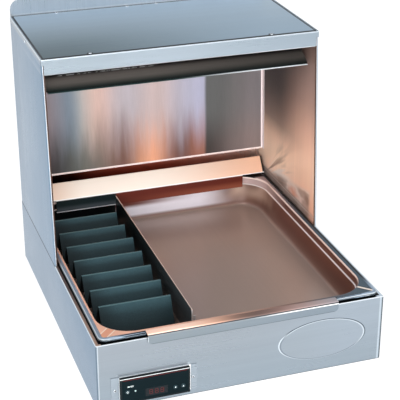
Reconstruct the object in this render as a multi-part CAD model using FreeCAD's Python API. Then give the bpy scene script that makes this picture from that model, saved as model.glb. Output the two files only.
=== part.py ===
import FreeCAD, Part
import math
import os

# Countertop chip warmer in millimetres.
# +X is to the operator's right, +Y is towards the back and +Z is up. The pieces are drawn with
# x = 0 on the middle plane, y = 0 on the front face of the base and z = 0 on the counter, and are
# moved at the end so that the origin is the middle of the footprint.

# Cabinet
width = 533.0
depth = 610.0
bay_height = 55.2
hood_height = 397.0
roof_front = 328.0
side_foot_front = 302.0
wall_thickness = 6.0
sheet = 1.2
liner_sheet = 0.8
front_bend_radius = 3.0
ledge_width = 15.0
seam = 0.2
seat_gap = 0.3
overrun = 5.0

# Roof
header_height = 29.5
header_shoulder = 11.0
header_return = 14.0
header_side_gap = 4.5
cap_height = 11.0
cap_foot = 16.0
roof_groove = 2.2
upstand_height = 32.0
upstand_corner_radius = 19.0
ceiling_drop = 19.0

# Inner back wall
wall_foot_rise = 58.0
wall_foot_setback = 24.0
wall_lean = 14.0
wall_flange = 12.0
wall_hem = 6.0

# Front emboss, a plain oval
emboss_right_margin = 118.0
emboss_height_on_front = 64.5
emboss_half_width = 84.5
emboss_half_height = 39.5
emboss_rise = 0.8
emboss_bevel = 1.2

# Pan
pan_depth = 65.0
pan_sheet = 0.9
pan_rise = 8.0
pan_side_inset = 18.5
pan_front_inset = 17.5
pan_back_inset = 38.0
pan_corner_radius = 63.0
pan_flange = 6.5
roll_radius = 3.8
roll_corner_radius = 5.0
rim_band = 18.0
rim_draft = 1.5
shoulder_step = 4.0
shoulder_drop = 2.0
body_draft = 5.5
floor_round = 9.0
floor_round_shares = ((0.0, 1.0), (0.08, 0.62), (0.29, 0.29), (0.62, 0.08), (1.0, 0.0))

# Grip lip of the pan
lip_side_inset = 72.0
lip_height = 20.0
lip_standoff = 1.4
lip_sheet = 1.0
lip_corner_radius = 8.0
lip_bend_radius = 2.5

# Rear ramp
ramp_sheet = 1.0
ramp_rise = 38.0
ramp_break_rise = 6.0
ramp_skirt_drop = 22.0
ramp_reach = 22.0
ramp_side_gap = 6.0
ramp_wall_gap = 7.0
skirt_side_inset = 43.0

# Divider
divider_left_margin = 189.0
divider_front_inset = 34.5
divider_back_gap = 6.0
divider_sheet = 1.5
divider_rise = 1.0
divider_foot = 14.0
divider_tab = 5.0

# Zigzag bag rack
rack_wall_inset = 22.0
rack_divider_gap = 14.5
rack_front = 137.0
rack_pitch = 61.0
rack_ridges = 7
rack_height = 52.0
rack_sheet = 1.2
rack_flat = 6.0
rack_ridge_flat = 1.6

# Heater
reflector_front_setback = 17.0
reflector_width = 120.0
reflector_rise = 22.0
reflector_drop = 51.0
reflector_side_gap = 7.5
reflector_sheet = 0.9
lip_bead_radius = 1.3
end_plate_sheet = 1.0
hanger_width = 60.0
hanger_foot = 14.0
rod_radius = 4.0
rod_rise = 10.0
rod_end_gap = 2.5
insulator_radius = 7.0
insulator_neck_radius = 5.5
insulator_length = 5.0
insulator_gap = 0.15
insulator_setback = 0.5

# Heated base below the pan
plate_sheet = 2.0
plate_gap = 0.4
blanket_sheet = 1.5
insulation_thickness = 12.0
tray_sheet = 1.0
stack_gap = 0.3
sensor_radius = 3.0
sensor_hole_gap = 0.2
sensor_x = 20.0
sensor_tail = 8.0
thermostat_radius = 12.0
thermostat_height = 10.0
thermostat_x = 70.0
lead_hole_radius = 4.0
well_flange = 10.0

# Control
control_left_margin = 101.0
control_centre_z = 36.5
control_half_width = 63.0
control_half_height = 25.5
control_proud = 8.0
control_depth = 17.0
control_front_wall = 3.0
control_body_inset = 2.0
control_body_wall = 1.6
control_cut_gap = 0.3
overlay_border = 3.2
overlay_ledge = 2.8
overlay_sheet = 1.2
overlay_setback = 0.2
plate_side = 14.0
plate_thickness = 1.0
board_sheet = 1.6
board_gap = 0.2
board_setback = 8.0
switch_radius = 2.5
switch_gap = 0.2
button_radius = 4.2
button_gap = 0.2
button_proud = 0.8
button_length = 3.2
button_travel = 0.7
button_row_drop = 2.5
power_button_u = -50.0
lamp_u = -36.0
lamp_radius = 1.6
lamp_gap = 0.1
lower_row_drop = 10.0
up_button_u = 50.0
down_button_u = 36.0
readout_u = 2.0
readout_half_width = 20.0
readout_half_height = 7.5
readout_gap = 0.1

# Electrical parts in the base
bottom_gap = 0.8
standoff_radius = 3.0
standoff_height = 8.0
standoff_inset = 8.0
power_board_left_margin = 121.5
power_board_y = 110.0
power_board_width = 120.0
power_board_depth = 90.0
transformer_width = 36.0
transformer_depth = 32.0
transformer_height = 26.0
relay_width = 18.0
relay_depth = 22.0
relay_height = 16.0
relay_count = 2
connector_width = 24.0
connector_depth = 10.0
connector_height = 10.0
part_margin = 9.0
terminal_left_margin = 61.5
terminal_back_inset = 55.0
terminal_width = 46.0
terminal_depth = 22.0
terminal_height = 20.0
terminal_rib = 3.0
terminal_rib_height = 6.0
terminal_rib_count = 4
wire_radius = 1.6
harness_radius = 3.0
wire_gap = 1.0
wire_bend = 9.0
harness_bend = 14.0
connector_pitch = 33.0
gland_left_margin = 106.5
gland_z = 52.0
gland_bore_radius = 4.5
gland_neck_radius = 9.0
gland_neck_gap = 0.2
gland_nut_radius = 13.0
gland_nut_depth = 6.0
gland_nose_length = 6.0
gland_lock_depth = 4.0

# Back vents
vent_count = 7
vent_pitch = 12.0
vent_length = 42.0
vent_width = 4.0
vent_right_margin = 146.5
vent_centre_z = 62.0

# Screws
screw_head_radius = 3.2
screw_head_height = 1.5
screw_radius = 1.6
screw_length = 5.0
screw_hole_gap = 0.15
screw_round_share = 0.6
rear_flange = 20.0
roof_screw_margin = 92.0
roof_back_screw_x = 30.5
roof_screw_inset = 9.0
roof_back_screw_inset = 6.0
cap_screw_drop = 8.0
plate_screw_edge = 7.0
back_screw_edge = 12.0

half = width / 2
inner_face = half - wall_thickness
tray_under = bay_height
tray_top = tray_under + tray_sheet
blanket_under = tray_top + insulation_thickness
plate_under = blanket_under + blanket_sheet
plate_top = plate_under + plate_sheet
pan_floor_top = plate_top + plate_gap + pan_sheet
rim_top = pan_floor_top + pan_depth
base_height = rim_top - pan_rise
roof_height = base_height + hood_height
ceiling_height = roof_height - ceiling_drop
wall_foot_height = base_height + wall_foot_rise
reflector_lip_height = ceiling_height - reflector_drop
reflector_half_length = inner_face - reflector_side_gap
rod_height = reflector_lip_height + rod_rise
skin_outer = half - sheet - seam
skin_inner = skin_outer - sheet
back_inner = depth - sheet
lid_top = roof_height - seam
lid_under = lid_top - sheet
pan_half_width = half - pan_side_inset
pan_front = pan_front_inset
pan_back = depth - pan_back_inset
lip_half_width = pan_half_width - lip_side_inset
divider_x = -half + divider_left_margin
control_centre_x = -half + control_left_margin
power_board_x = -half + power_board_left_margin
terminal_x = -half + terminal_left_margin
gland_x = -half + gland_left_margin
vent_centre_x = half - vent_right_margin
roof_screw_x = half - roof_screw_margin
ledge_inner = half - ledge_width
wall_foot_front = depth - wall_foot_setback
wall_top_front = wall_foot_front + wall_lean
hem_foot_z = base_height + seam
header_foot = roof_height - header_height
skin_top = lid_under - sheet - seam
liner_back = back_inner - sheet - seam

pieces = {}


def vector(x, y, z):
    return FreeCAD.Vector(x, y, z)


def box(x0, x1, y0, y1, z0, z1):
    """A block between two opposite corners."""
    return Part.makeBox(x1 - x0, y1 - y0, z1 - z0, vector(x0, y0, z0))


def prism(points, direction):
    """A closed polygon, swept along a direction."""
    loop = Part.makePolygon(list(points) + [points[0]])
    return Part.Face(loop).extrude(direction)


def prism_x(points, x0, x1):
    """A polygon of (y, z) points, swept from x0 to x1."""
    return prism([vector(x0, y, z) for y, z in points], vector(x1 - x0, 0, 0))


def prism_y(points, y0, y1):
    """A polygon of (x, z) points, swept from y0 to y1."""
    return prism([vector(x, y0, z) for x, z in points], vector(0, y1 - y0, 0))


def cylinder(radius, start, direction, length):
    """A round bar from a start point along a direction."""
    return Part.makeCylinder(radius, length, start, direction)


def join(shapes):
    """One solid from touching or overlapping shapes."""
    whole = shapes[0].fuse(shapes[1:])
    return whole.removeSplitter()


def mirror_x(shape):
    """The same shape on the other side of the middle plane."""
    return shape.mirror(vector(0, 0, 0), vector(1, 0, 0))


def rounded_loop(x0, x1, y0, y1, z, radius):
    """A level rectangle outline with round corners, counterclockwise from above."""
    r = radius
    d = r * math.sqrt(0.5)
    edges = []
    corners = (
        (x1 - r, y0 + r, 0, -1),
        (x1 - r, y1 - r, 1, 0),
        (x0 + r, y1 - r, 0, 1),
        (x0 + r, y0 + r, -1, 0),
    )
    starts = [vector(cx + r * ux, cy + r * uy, z) for cx, cy, ux, uy in corners]
    ends = [vector(cx - r * uy, cy + r * ux, z) for cx, cy, ux, uy in corners]
    mids = [vector(cx + d * (ux - uy), cy + d * (uy + ux), z) for cx, cy, ux, uy in corners]
    for index in range(len(corners)):
        edges.append(Part.Arc(starts[index], mids[index], ends[index]).toShape())
        edges.append(Part.LineSegment(ends[index], starts[(index + 1) % len(corners)]).toShape())
    return Part.Wire(edges)


def rounded_slab(x0, x1, y0, y1, z0, z1, radius):
    """A level plate with round corners."""
    return Part.Face(rounded_loop(x0, x1, y0, y1, z0, radius)).extrude(vector(0, 0, z1 - z0))


def tube(points, radius, bend):
    """A round bar along straight runs joined by tangent arcs."""
    corner = [vector(*p) for p in points]
    edges = []
    begin = corner[0]
    for before, here, after in zip(corner, corner[1:], corner[2:]):
        back = (before - here).normalize()
        ahead = (after - here).normalize()
        half_turn = (math.pi - back.getAngle(ahead)) / 2
        trim = bend * math.tan(half_turn)
        enter = here + back * trim
        leave = here + ahead * trim
        inward = (back + ahead).normalize()
        middle = here + inward * (bend / math.cos(half_turn) - bend)
        edges.append(Part.LineSegment(begin, enter).toShape())
        edges.append(Part.Arc(enter, middle, leave).toShape())
        begin = leave
    edges.append(Part.LineSegment(begin, corner[-1]).toShape())
    path = Part.Wire(edges)
    ring = Part.Wire(Part.makeCircle(radius, corner[0], corner[1] - corner[0]))
    return path.makePipeShell([ring], True, False)


def screw(point, outward):
    """A low round head on a surface with a shank behind it."""
    head = cylinder(screw_head_radius, point, outward, screw_head_height)
    top = [edge for edge in head.Edges if edge.CenterOfMass.sub(point).Length > screw_head_height / 2
           and len(edge.Vertexes) == 1]
    head = head.makeFillet(screw_head_height * screw_round_share, top)
    shank = cylinder(screw_radius, point, outward * -1, screw_length)
    return join([head, shank])


def screw_hole(point, outward):
    """The clearance hole that a screw passes through."""
    reach = screw_length + overrun
    return cylinder(screw_radius + screw_hole_gap, point + outward * overrun, outward * -1, reach + overrun)


def keep(name, *shapes):
    """Store a piece under its own name; several shapes are separate solids of one piece."""
    pieces[name] = shapes[0] if len(shapes) == 1 else Part.makeCompound(list(shapes))


# Screw places, shared by the screws and by their holes
up = vector(0, 0, 1)
front_screws = [(vector(side * roof_screw_x, roof_front + roof_screw_inset, lid_top), up)
                for side in (-1, 1)]
back_screws = [(vector(x, back_inner - roof_back_screw_inset, lid_top), up)
               for x in (-roof_screw_x, -roof_back_screw_x, roof_back_screw_x, roof_screw_x)]
cap_screws = [(vector(side * half, (roof_front + depth) / 2, roof_height - cap_screw_drop),
               vector(side, 0, 0)) for side in (-1, 1)]
plate_screws = [(vector(control_centre_x + side * (control_half_width + plate_screw_edge),
                        -plate_thickness, control_centre_z), vector(0, -1, 0)) for side in (-1, 1)]
base_back_screws = [(vector(side * (half - back_screw_edge), depth, z), vector(0, 1, 0))
                    for side in (-1, 1) for z in (back_screw_edge, base_height - back_screw_edge)]
upper_back_screws = [(vector(side * (skin_inner - back_screw_edge), depth, z), vector(0, 1, 0))
                     for side in (-1, 1)
                     for z in (base_height + back_screw_edge, skin_top - back_screw_edge)]


def drill(shape, places):
    """Cut the screw holes at the given places."""
    return shape.cut([screw_hole(point, outward) for point, outward in places])


# Base

def plan(inset, back, z0, z1):
    """The base's plan with round front corners, inset on three sides, between two heights."""
    side = half - inset
    radius = max(front_bend_radius - inset, front_bend_radius / 4)
    slab = rounded_slab(-side, side, inset, back + radius, z0, z1, radius)
    return slab.common(box(-half, half, 0, back, z0, z1))


def control_opening(gap, y0, y1):
    """The rectangle that the control passes through."""
    w = control_half_width + gap
    h = control_half_height + gap
    return box(control_centre_x - w, control_centre_x + w, y0, y1,
               control_centre_z - h, control_centre_z + h)


def oval(half_width, half_height, y):
    """An upright ellipse outline on the front."""
    ring = Part.Ellipse(vector(0, 0, 0), half_width, half_height).toShape()
    ring.rotate(vector(0, 0, 0), vector(1, 0, 0), 90)
    ring.translate(vector(half - emboss_right_margin, y, emboss_height_on_front))
    return Part.Wire(ring)


def base_wrapper():
    shell = plan(0, back_inner, 0, base_height)
    shell = shell.cut(plan(sheet, depth, sheet, base_height - sheet))
    shell = shell.cut(box(-ledge_inner, ledge_inner, ledge_width, depth, -overrun, base_height + overrun))
    emboss = Part.makeLoft([oval(emboss_half_width, emboss_half_height, 0),
                            oval(emboss_half_width - emboss_bevel, emboss_half_height - emboss_bevel,
                                 -emboss_rise)], True, True)
    shell = join([shell, emboss])
    shell = shell.cut(control_opening(control_cut_gap - control_body_inset, -overrun, overrun))
    return drill(shell, plate_screws)


def base_back_panel():
    panel = box(-half, half, back_inner, depth, 0, base_height - seam)
    middle = (vent_count - 1) / 2
    radius = vent_width / 2
    slots = []
    for index in range(vent_count):
        x = vent_centre_x + (index - middle) * vent_pitch
        low = vent_centre_z - vent_length / 2 + radius
        high = vent_centre_z + vent_length / 2 - radius
        slots.append(box(x - radius, x + radius, back_inner - overrun, depth + overrun, low, high))
        for z in (low, high):
            slots.append(cylinder(radius, vector(x, back_inner - overrun, z), vector(0, 1, 0),
                                  sheet + 2 * overrun))
    neck = cylinder(gland_neck_radius + gland_neck_gap, vector(gland_x, back_inner - overrun, gland_z),
                    vector(0, 1, 0), sheet + 2 * overrun)
    return drill(panel.cut(slots + [neck]), base_back_screws)


def base_bottom_panel():
    edge = half - sheet - bottom_gap
    return box(-edge, edge, sheet + bottom_gap, back_inner - bottom_gap, sheet, 2 * sheet)


well_side = ledge_inner + sheet
well_front = ledge_width - sheet
ledge_back = pan_back + (ledge_inner - pan_half_width)
sensor_y = (well_front + ledge_back) / 2
riser_x = terminal_x
riser_y = back_inner - 2 * wire_radius


def rear_ledge():
    ledge = box(-ledge_inner, ledge_inner, ledge_back, back_inner, base_height - sheet, base_height)
    notch = riser_hole(base_height - sheet - overrun, base_height + overrun)
    return ledge.cut(notch)


def riser_hole(z0, z1):
    """The slot that the two heater leads rise through."""
    reach = wire_radius + wire_gap
    return box(riser_x - 3 * reach, riser_x + 3 * reach, riser_y - reach, riser_y + reach, z0, z1)


def well_frame():
    """The four walls that hang from the ledges, with an inward flange under the insulation tray."""
    top = base_height - sheet
    foot = tray_under - sheet
    outer = box(-well_side, well_side, well_front - sheet, ledge_back + sheet, foot, top)
    inner = box(-ledge_inner, ledge_inner, well_front, ledge_back, tray_under, top + overrun)
    window = box(-ledge_inner + well_flange, ledge_inner - well_flange, well_front + well_flange,
                 ledge_back - well_flange, foot - overrun, tray_under + overrun)
    return outer.cut([inner, window])


def stack_slab(z0, z1):
    """A level layer that fills the well with a small gap all round."""
    edge = ledge_inner - stack_gap
    return box(-edge, edge, well_front + stack_gap, ledge_back - stack_gap, z0, z1)


def stack_holes():
    """Bores for the temperature sensor and for the blanket's leads."""
    sensor = cylinder(sensor_radius + sensor_hole_gap, vector(sensor_x, sensor_y, tray_under - overrun), up,
                      blanket_under - tray_under + overrun)
    leads = cylinder(lead_hole_radius, vector(blanket_lead_x, blanket_lead_y, tray_under - overrun), up,
                     blanket_under - tray_under + overrun)
    return [sensor, leads]


blanket_lead_x = power_board_x
blanket_lead_y = power_board_y + power_board_depth / 2 + 2 * harness_bend

keep("base_wrapper", base_wrapper())
keep("base_back_panel", base_back_panel())
keep("base_bottom_panel", base_bottom_panel())
keep("rear_ledge", rear_ledge())
keep("well_frame", well_frame())
keep("heat_plate", stack_slab(plate_under, plate_top))
keep("blanket_element", stack_slab(blanket_under, plate_under))
keep("insulation_pad", stack_slab(tray_top, blanket_under).cut(stack_holes()))
keep("insulation_tray", stack_slab(tray_under, tray_top).cut(stack_holes()))


# Hood

def lean(z):
    """The y of the hood's inclined front edge at a height."""
    share = (z - base_height) / (header_foot - base_height)
    return side_foot_front + (roof_front - side_foot_front) * share


def side_skin():
    """The right upper side panel with the hem along its front edge."""
    skin = prism_x([(lean(hem_foot_z), hem_foot_z), (roof_front, header_foot), (roof_front, skin_top),
                    (back_inner, skin_top), (back_inner, hem_foot_z)], skin_inner, skin_outer)
    # The header strip's shouldered face stands in front of the panel above the hem.
    skin = skin.cut(box(0, half, 0, roof_front + sheet + seam, header_foot - seam, roof_height))
    hem = prism_x([(lean(hem_foot_z), hem_foot_z), (roof_front, header_foot - seam),
                   (roof_front + sheet, header_foot - seam), (lean(hem_foot_z) + sheet, hem_foot_z)],
                  inner_face, skin_inner)
    flange = box(skin_inner - rear_flange, skin_inner, back_inner - sheet, back_inner, hem_foot_z, skin_top)
    skin = join([skin, hem, flange])
    return drill(skin, cap_screws + upper_back_screws)


def side_liner():
    """The right inner liner, just behind the hem."""
    step = sheet + seam
    return prism_x([(lean(hem_foot_z) + step, hem_foot_z), (roof_front + step, header_foot - seam),
                    (roof_front + step, ceiling_height), (liner_back, ceiling_height),
                    (liner_back, hem_foot_z)], inner_face, inner_face + liner_sheet)


def inner_back_wall():
    edge = inner_face - seam
    run = ceiling_height - wall_foot_height
    slope = wall_lean / run
    t = liner_sheet
    panel = prism_x([(wall_foot_front, wall_foot_height), (wall_top_front, ceiling_height),
                     (wall_top_front + t, ceiling_height), (wall_foot_front + t, wall_foot_height)],
                    -edge, edge)
    hem = prism_x([(wall_foot_front, wall_foot_height), (wall_foot_front + slope * t, wall_foot_height + t),
                   (wall_foot_front + wall_hem, wall_foot_height + t),
                   (wall_foot_front + wall_hem, wall_foot_height)], -edge, edge)
    flange = prism_x([(wall_foot_front - wall_flange, wall_foot_height),
                      (wall_top_front - wall_flange, ceiling_height),
                      (wall_top_front + t, ceiling_height), (wall_foot_front + t, wall_foot_height)],
                     edge - t, edge)
    return join([panel, hem, flange, mirror_x(flange)])


def ceiling_liner():
    edge = skin_inner - seam
    plate = box(-edge, edge, roof_front + sheet + seam, liner_back, ceiling_height,
                ceiling_height + liner_sheet)
    holes = [riser_hole(ceiling_height - overrun, ceiling_height + overrun)]
    for x in (-lead_x, lead_x):
        holes.append(cylinder(wire_radius + wire_gap, vector(x, rod_y, ceiling_height - overrun), up,
                              2 * overrun))
    return plate.cut(holes)


def header_strip():
    narrow = half - header_side_gap
    shoulder = roof_height - header_shoulder
    face = prism_y([(-narrow, header_foot), (narrow, header_foot), (narrow, shoulder), (half, shoulder),
                    (half, roof_height), (-half, roof_height), (-half, shoulder), (-narrow, shoulder)],
                   roof_front, roof_front + sheet)
    inside = inner_face - seam
    reach = roof_front + header_return
    foot = box(-inside, inside, roof_front, reach, header_foot, header_foot + sheet)
    top_edge = half - cap_foot - seam
    top_return = box(-top_edge, top_edge, roof_front, reach, lid_under - sheet, lid_under)
    return drill(join([face, foot, top_return]), front_screws)


def side_cap():
    """The right rail that edges the roof and hems the side panel."""
    y0 = roof_front + sheet + seam
    leg = box(half - sheet, half, y0, back_inner, roof_height - cap_height, roof_height)
    foot = box(half - cap_foot, half, y0, back_inner, lid_under - sheet, lid_under)
    return drill(join([leg, foot]), cap_screws)


def top_panel():
    inset = sheet + roof_groove
    panel = box(-half + inset, half - inset, roof_front + inset, back_inner, lid_under, lid_top)
    return drill(panel, front_screws + back_screws)


def back_panel():
    side = skin_outer
    top = roof_height + upstand_height
    radius = upstand_corner_radius
    slab = box(-side, side, back_inner, depth, base_height, top - radius)
    crown = box(-side + radius, side - radius, back_inner, depth, top - radius, top)
    rounds = [cylinder(radius, vector(s * (side - radius), back_inner, top - radius), vector(0, 1, 0), sheet)
              for s in (-1, 1)]
    # The return carries the roof's back edge and stops short of the side caps' feet.
    edge = half - cap_foot - seam
    shelf = box(-edge, edge, back_inner - header_return, back_inner, lid_under - sheet, lid_under)
    panel = join([slab, crown, shelf] + rounds)
    return drill(panel, back_screws + upper_back_screws)


rod_y = roof_front + reflector_front_setback + reflector_width / 2
rod_end = inner_face - rod_end_gap
lead_x = rod_end - wire_radius

right_skin = side_skin()
right_liner = side_liner()
right_cap = side_cap()
keep("right_side_panel", right_skin)
keep("left_side_panel", mirror_x(right_skin))
keep("right_liner", right_liner)
keep("left_liner", mirror_x(right_liner))
keep("side_cap_rails", mirror_x(right_cap), right_cap)
keep("inner_back_wall", inner_back_wall())
keep("ceiling_liner", ceiling_liner())
keep("header_strip", header_strip())
keep("top_panel", top_panel())
keep("back_panel", back_panel())


# Heater

def arch(grow, x0, x1):
    """A slice of the reflector's arch, grown outwards, closed along its chord."""
    half_chord = reflector_width / 2
    radius = (half_chord ** 2 + reflector_rise ** 2) / (2 * reflector_rise)
    centre_z = reflector_lip_height + reflector_rise - radius
    drum = cylinder(radius + grow, vector(x0, rod_y, centre_z), vector(1, 0, 0), x1 - x0)
    keep_above = box(x0, x1, rod_y - width, rod_y + width, reflector_lip_height, roof_height)
    return drum.common(keep_above)


def heater_reflector():
    shell = arch(0, -reflector_half_length, reflector_half_length)
    reach = reflector_half_length + overrun
    shell = shell.cut(arch(-reflector_sheet, -reach, reach))
    beads = []
    for s in (-1, 1):
        start = vector(-reflector_half_length, rod_y + s * reflector_width / 2, reflector_lip_height)
        beads.append(cylinder(lip_bead_radius, start, vector(1, 0, 0), 2 * reflector_half_length))
    return join([shell] + beads)


def end_plate():
    """The right end of the reflector with the hanger that carries it from the ceiling."""
    x0 = reflector_half_length
    x1 = x0 + end_plate_sheet
    plate = arch(0, x0, x1)
    strap = box(x0, x1, rod_y - hanger_width / 2, rod_y + hanger_width / 2, rod_height, ceiling_height)
    foot = box(x0 - hanger_foot, x1, rod_y - hanger_width / 2, rod_y + hanger_width / 2,
               ceiling_height - end_plate_sheet, ceiling_height)
    bore = cylinder(insulator_neck_radius + insulator_gap, vector(x0 - overrun, rod_y, rod_height),
                    vector(1, 0, 0), end_plate_sheet + 2 * overrun)
    return join([plate, strap, foot]).cut(bore)


def rod_insulator():
    """The right ceramic bush: a flange inside the end plate and a neck through it."""
    x1 = reflector_half_length - insulator_setback
    flange = cylinder(insulator_radius, vector(x1 - insulator_length, rod_y, rod_height), vector(1, 0, 0),
                      insulator_length)
    neck = cylinder(insulator_neck_radius, vector(x1, rod_y, rod_height), vector(1, 0, 0),
                    end_plate_sheet + insulator_setback)
    bore = cylinder(rod_radius + insulator_gap, vector(0, rod_y, rod_height), vector(1, 0, 0), half)
    return join([flange, neck]).cut(bore)


right_end = end_plate()
right_bush = rod_insulator()
keep("heater_reflector", heater_reflector())
keep("reflector_end_plates", mirror_x(right_end), right_end)
keep("heater_rod", cylinder(rod_radius, vector(-rod_end, rod_y, rod_height), vector(1, 0, 0), 2 * rod_end))
keep("rod_insulators", mirror_x(right_bush), right_bush)


# Pan

def pan_section(offset, side_step, front_step, z):
    """The pan's outline at a height; the steps move its straight sides inwards."""
    return rounded_loop(-pan_half_width + side_step - offset, pan_half_width - side_step + offset,
                        pan_front + front_step - offset, pan_back - front_step + offset, z,
                        pan_corner_radius - side_step + offset)


def pan_wall_stations():
    """Pairs of inward step and height, from the rim down to the floor, on the inside."""
    band_foot = rim_top - rim_band
    shoulder_foot = band_foot - shoulder_drop
    foot_step = rim_draft + shoulder_step + body_draft
    stations = [(0, rim_top), (rim_draft, band_foot), (rim_draft + shoulder_step, shoulder_foot)]
    for in_share, up_share in floor_round_shares:
        stations.append((foot_step + floor_round * in_share, pan_floor_top + floor_round * up_share))
    return stations


def pan_shell_form(offset, drop):
    """The pan's inside form, or its outside form when offset by the sheet."""
    loops = [pan_section(offset, step, step, z - (drop if z < rim_top else 0))
             for step, z in pan_wall_stations()]
    return Part.makeLoft(loops, True, True)


def roll_bar(x0, x1, y0, y1):
    """The rolled edge's round bar along one straight stretch."""
    start = vector(x0, y0, rim_top - roll_radius)
    run = vector(x1 - x0, y1 - y0, 0)
    return cylinder(roll_radius, start, run, run.Length)


def pan():
    flange_out = pan_flange
    side = pan_half_width + flange_out
    front = pan_front - flange_out
    back = pan_back + flange_out
    corner = roll_corner_radius
    plate = rounded_slab(-side, side, front, back, rim_top - pan_sheet, rim_top, corner)
    body = join([plate, pan_shell_form(pan_sheet, pan_sheet)])
    bars = [roll_bar(-side, -side, front + corner, back - corner),
            roll_bar(side, side, front + corner, back - corner),
            roll_bar(-side + corner, side - corner, back, back),
            roll_bar(-side + corner, -lip_half_width, front, front),
            roll_bar(lip_half_width, side - corner, front, front)]
    for sx, sy, turn in ((-1, -1, 180), (1, -1, 270), (1, 1, 0), (-1, 1, 90)):
        ring = Part.makeTorus(corner, roll_radius, vector(0, 0, 0), up, 0, 360, 90)
        ring.rotate(vector(0, 0, 0), up, turn)
        ring.translate(vector(sx * (side - corner), (front if sy < 0 else back) - sy * corner,
                              rim_top - roll_radius))
        bars.append(ring)
    body = join([body] + bars)
    # A smooth flange runs forward to the grip lip between the two ends of the roll.
    clear = box(-lip_half_width, lip_half_width, -overrun, front + pan_sheet, rim_top - lip_height,
                rim_top - pan_sheet)
    body = body.cut(clear)
    body = join([body, grip_lip(front)])
    return body.cut(pan_shell_form(0, 0))


def grip_lip(flange_front):
    """The flange's tongue that turns down in front of the base and its rounded hand edge."""
    face_y = -lip_standoff - lip_sheet
    tongue = box(-lip_half_width, lip_half_width, face_y, flange_front + pan_sheet, rim_top - lip_sheet,
                 rim_top)
    foot = rim_top - lip_height
    r = lip_corner_radius
    sheet_back = face_y + lip_sheet
    drop = box(-lip_half_width, lip_half_width, face_y, sheet_back, foot + r, rim_top)
    hand = box(-lip_half_width + r, lip_half_width - r, face_y, sheet_back, foot, foot + r)
    rounds = [cylinder(r, vector(s * (lip_half_width - r), face_y, foot + r), vector(0, 1, 0), lip_sheet)
              for s in (-1, 1)]
    lip = join([tongue, drop, hand] + rounds)
    bend = [edge for edge in lip.Edges
            if abs(edge.CenterOfMass.y - face_y) < seam and abs(edge.CenterOfMass.z - rim_top) < seam]
    return lip.makeFillet(min(lip_bend_radius, lip_height / 2), bend)


def rear_ramp():
    t = ramp_sheet
    leg_back = wall_foot_front - ramp_wall_gap
    leg_front = leg_back - t
    toe = leg_back - ramp_reach
    foot = rim_top + seat_gap
    edge = inner_face - ramp_side_gap
    top = rim_top + ramp_rise
    crease = rim_top + ramp_break_rise
    lift = t * math.hypot(ramp_reach, top - crease) / ramp_reach
    tent = prism_x([(leg_back, foot), (leg_back, top), (toe, crease), (toe, crease - lift),
                    (leg_front, top - lift), (leg_front, foot)], -edge, edge)
    skirt_edge = pan_half_width - skirt_side_inset
    skirt = box(-skirt_edge, skirt_edge, toe, toe + t, rim_top - ramp_skirt_drop, crease)
    return join([tent, skirt])


def divider():
    t = divider_sheet
    y0 = pan_front + divider_front_inset
    y1 = wall_foot_front - ramp_wall_gap - ramp_reach - divider_back_gap
    z0 = pan_floor_top + seat_gap
    z1 = rim_top + divider_rise
    plate = box(divider_x - t / 2, divider_x + t / 2, y0, y1, z0, z1)
    foot = box(divider_x - t / 2, divider_x + divider_foot, y0, y1, z0, z0 + t)
    front_tab = box(divider_x - t / 2, divider_x + divider_tab, y0, y0 + t, z0, z1 - divider_foot)
    back_tab = box(divider_x - t / 2, divider_x + divider_tab, y1 - t, y1, z0, z1 - divider_foot)
    return join([plate, foot, front_tab, back_tab])


def zigzag(shift, lift):
    """One face of the rack's folded line in (y, z); shift and lift lead from the under face to the upper."""
    foot = pan_floor_top + seat_gap
    low = foot + lift
    high = low + rack_height - rack_sheet
    slope_foot = rack_pitch / 2 - rack_flat / 2 + shift
    slope_head = rack_ridge_flat / 2 + shift
    points = [(rack_front - rack_pitch / 2 - rack_flat / 2, low)]
    for index in range(rack_ridges):
        ridge = rack_front + index * rack_pitch
        points.extend([(ridge - slope_foot, low), (ridge - slope_head, high)])
        if index < rack_ridges - 1:
            points.extend([(ridge + slope_head, high), (ridge + slope_foot, low)])
    # The last ridge ends in an upright leg, clear of the pan's rear corner.
    leg = ridge + rack_ridge_flat / 2 + lift
    return points + [(leg, high), (leg, foot)]


def bag_rack():
    """One folded sheet: flat valleys on the pan's floor with ridges after each."""
    run = rack_pitch / 2 - rack_flat / 2 - rack_ridge_flat / 2
    rise = rack_height - rack_sheet
    shift = rack_sheet * math.tan(math.atan2(rise, run) / 2)
    return prism_x(zigzag(0, 0) + list(reversed(zigzag(shift, rack_sheet))),
                   -pan_half_width + rack_wall_inset, divider_x - rack_divider_gap)


keep("pan", pan())
keep("rear_ramp", rear_ramp())
keep("divider", divider())
keep("bag_rack", bag_rack())


# Control

def on_control(u, v):
    """A place on the control's face, from its centre."""
    return control_centre_x + u, control_centre_z + v


def control_rect(inset, y0, y1):
    return control_opening(-inset, y0, y1)


def round_bore(u, v, radius, y0, y1):
    x, z = on_control(u, v)
    return cylinder(radius, vector(x, y0, z), vector(0, 1, 0), y1 - y0)


def readout_block(gap, y0, y1):
    x, z = on_control(readout_u, -lower_row_drop)
    w = readout_half_width + gap
    h = readout_half_height + gap
    return box(x - w, x + w, y0, y1, z - h, z + h)


bezel_front = -control_proud
bezel_back = bezel_front + control_depth
overlay_front = bezel_front + overlay_setback
overlay_back = overlay_front + overlay_sheet
board_front = bezel_front + board_setback
board_back = board_front + board_sheet
button_places = {"power_button": (power_button_u, -button_row_drop),
                 "down_button": (down_button_u, -lower_row_drop),
                 "up_button": (up_button_u, -lower_row_drop)}


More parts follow.
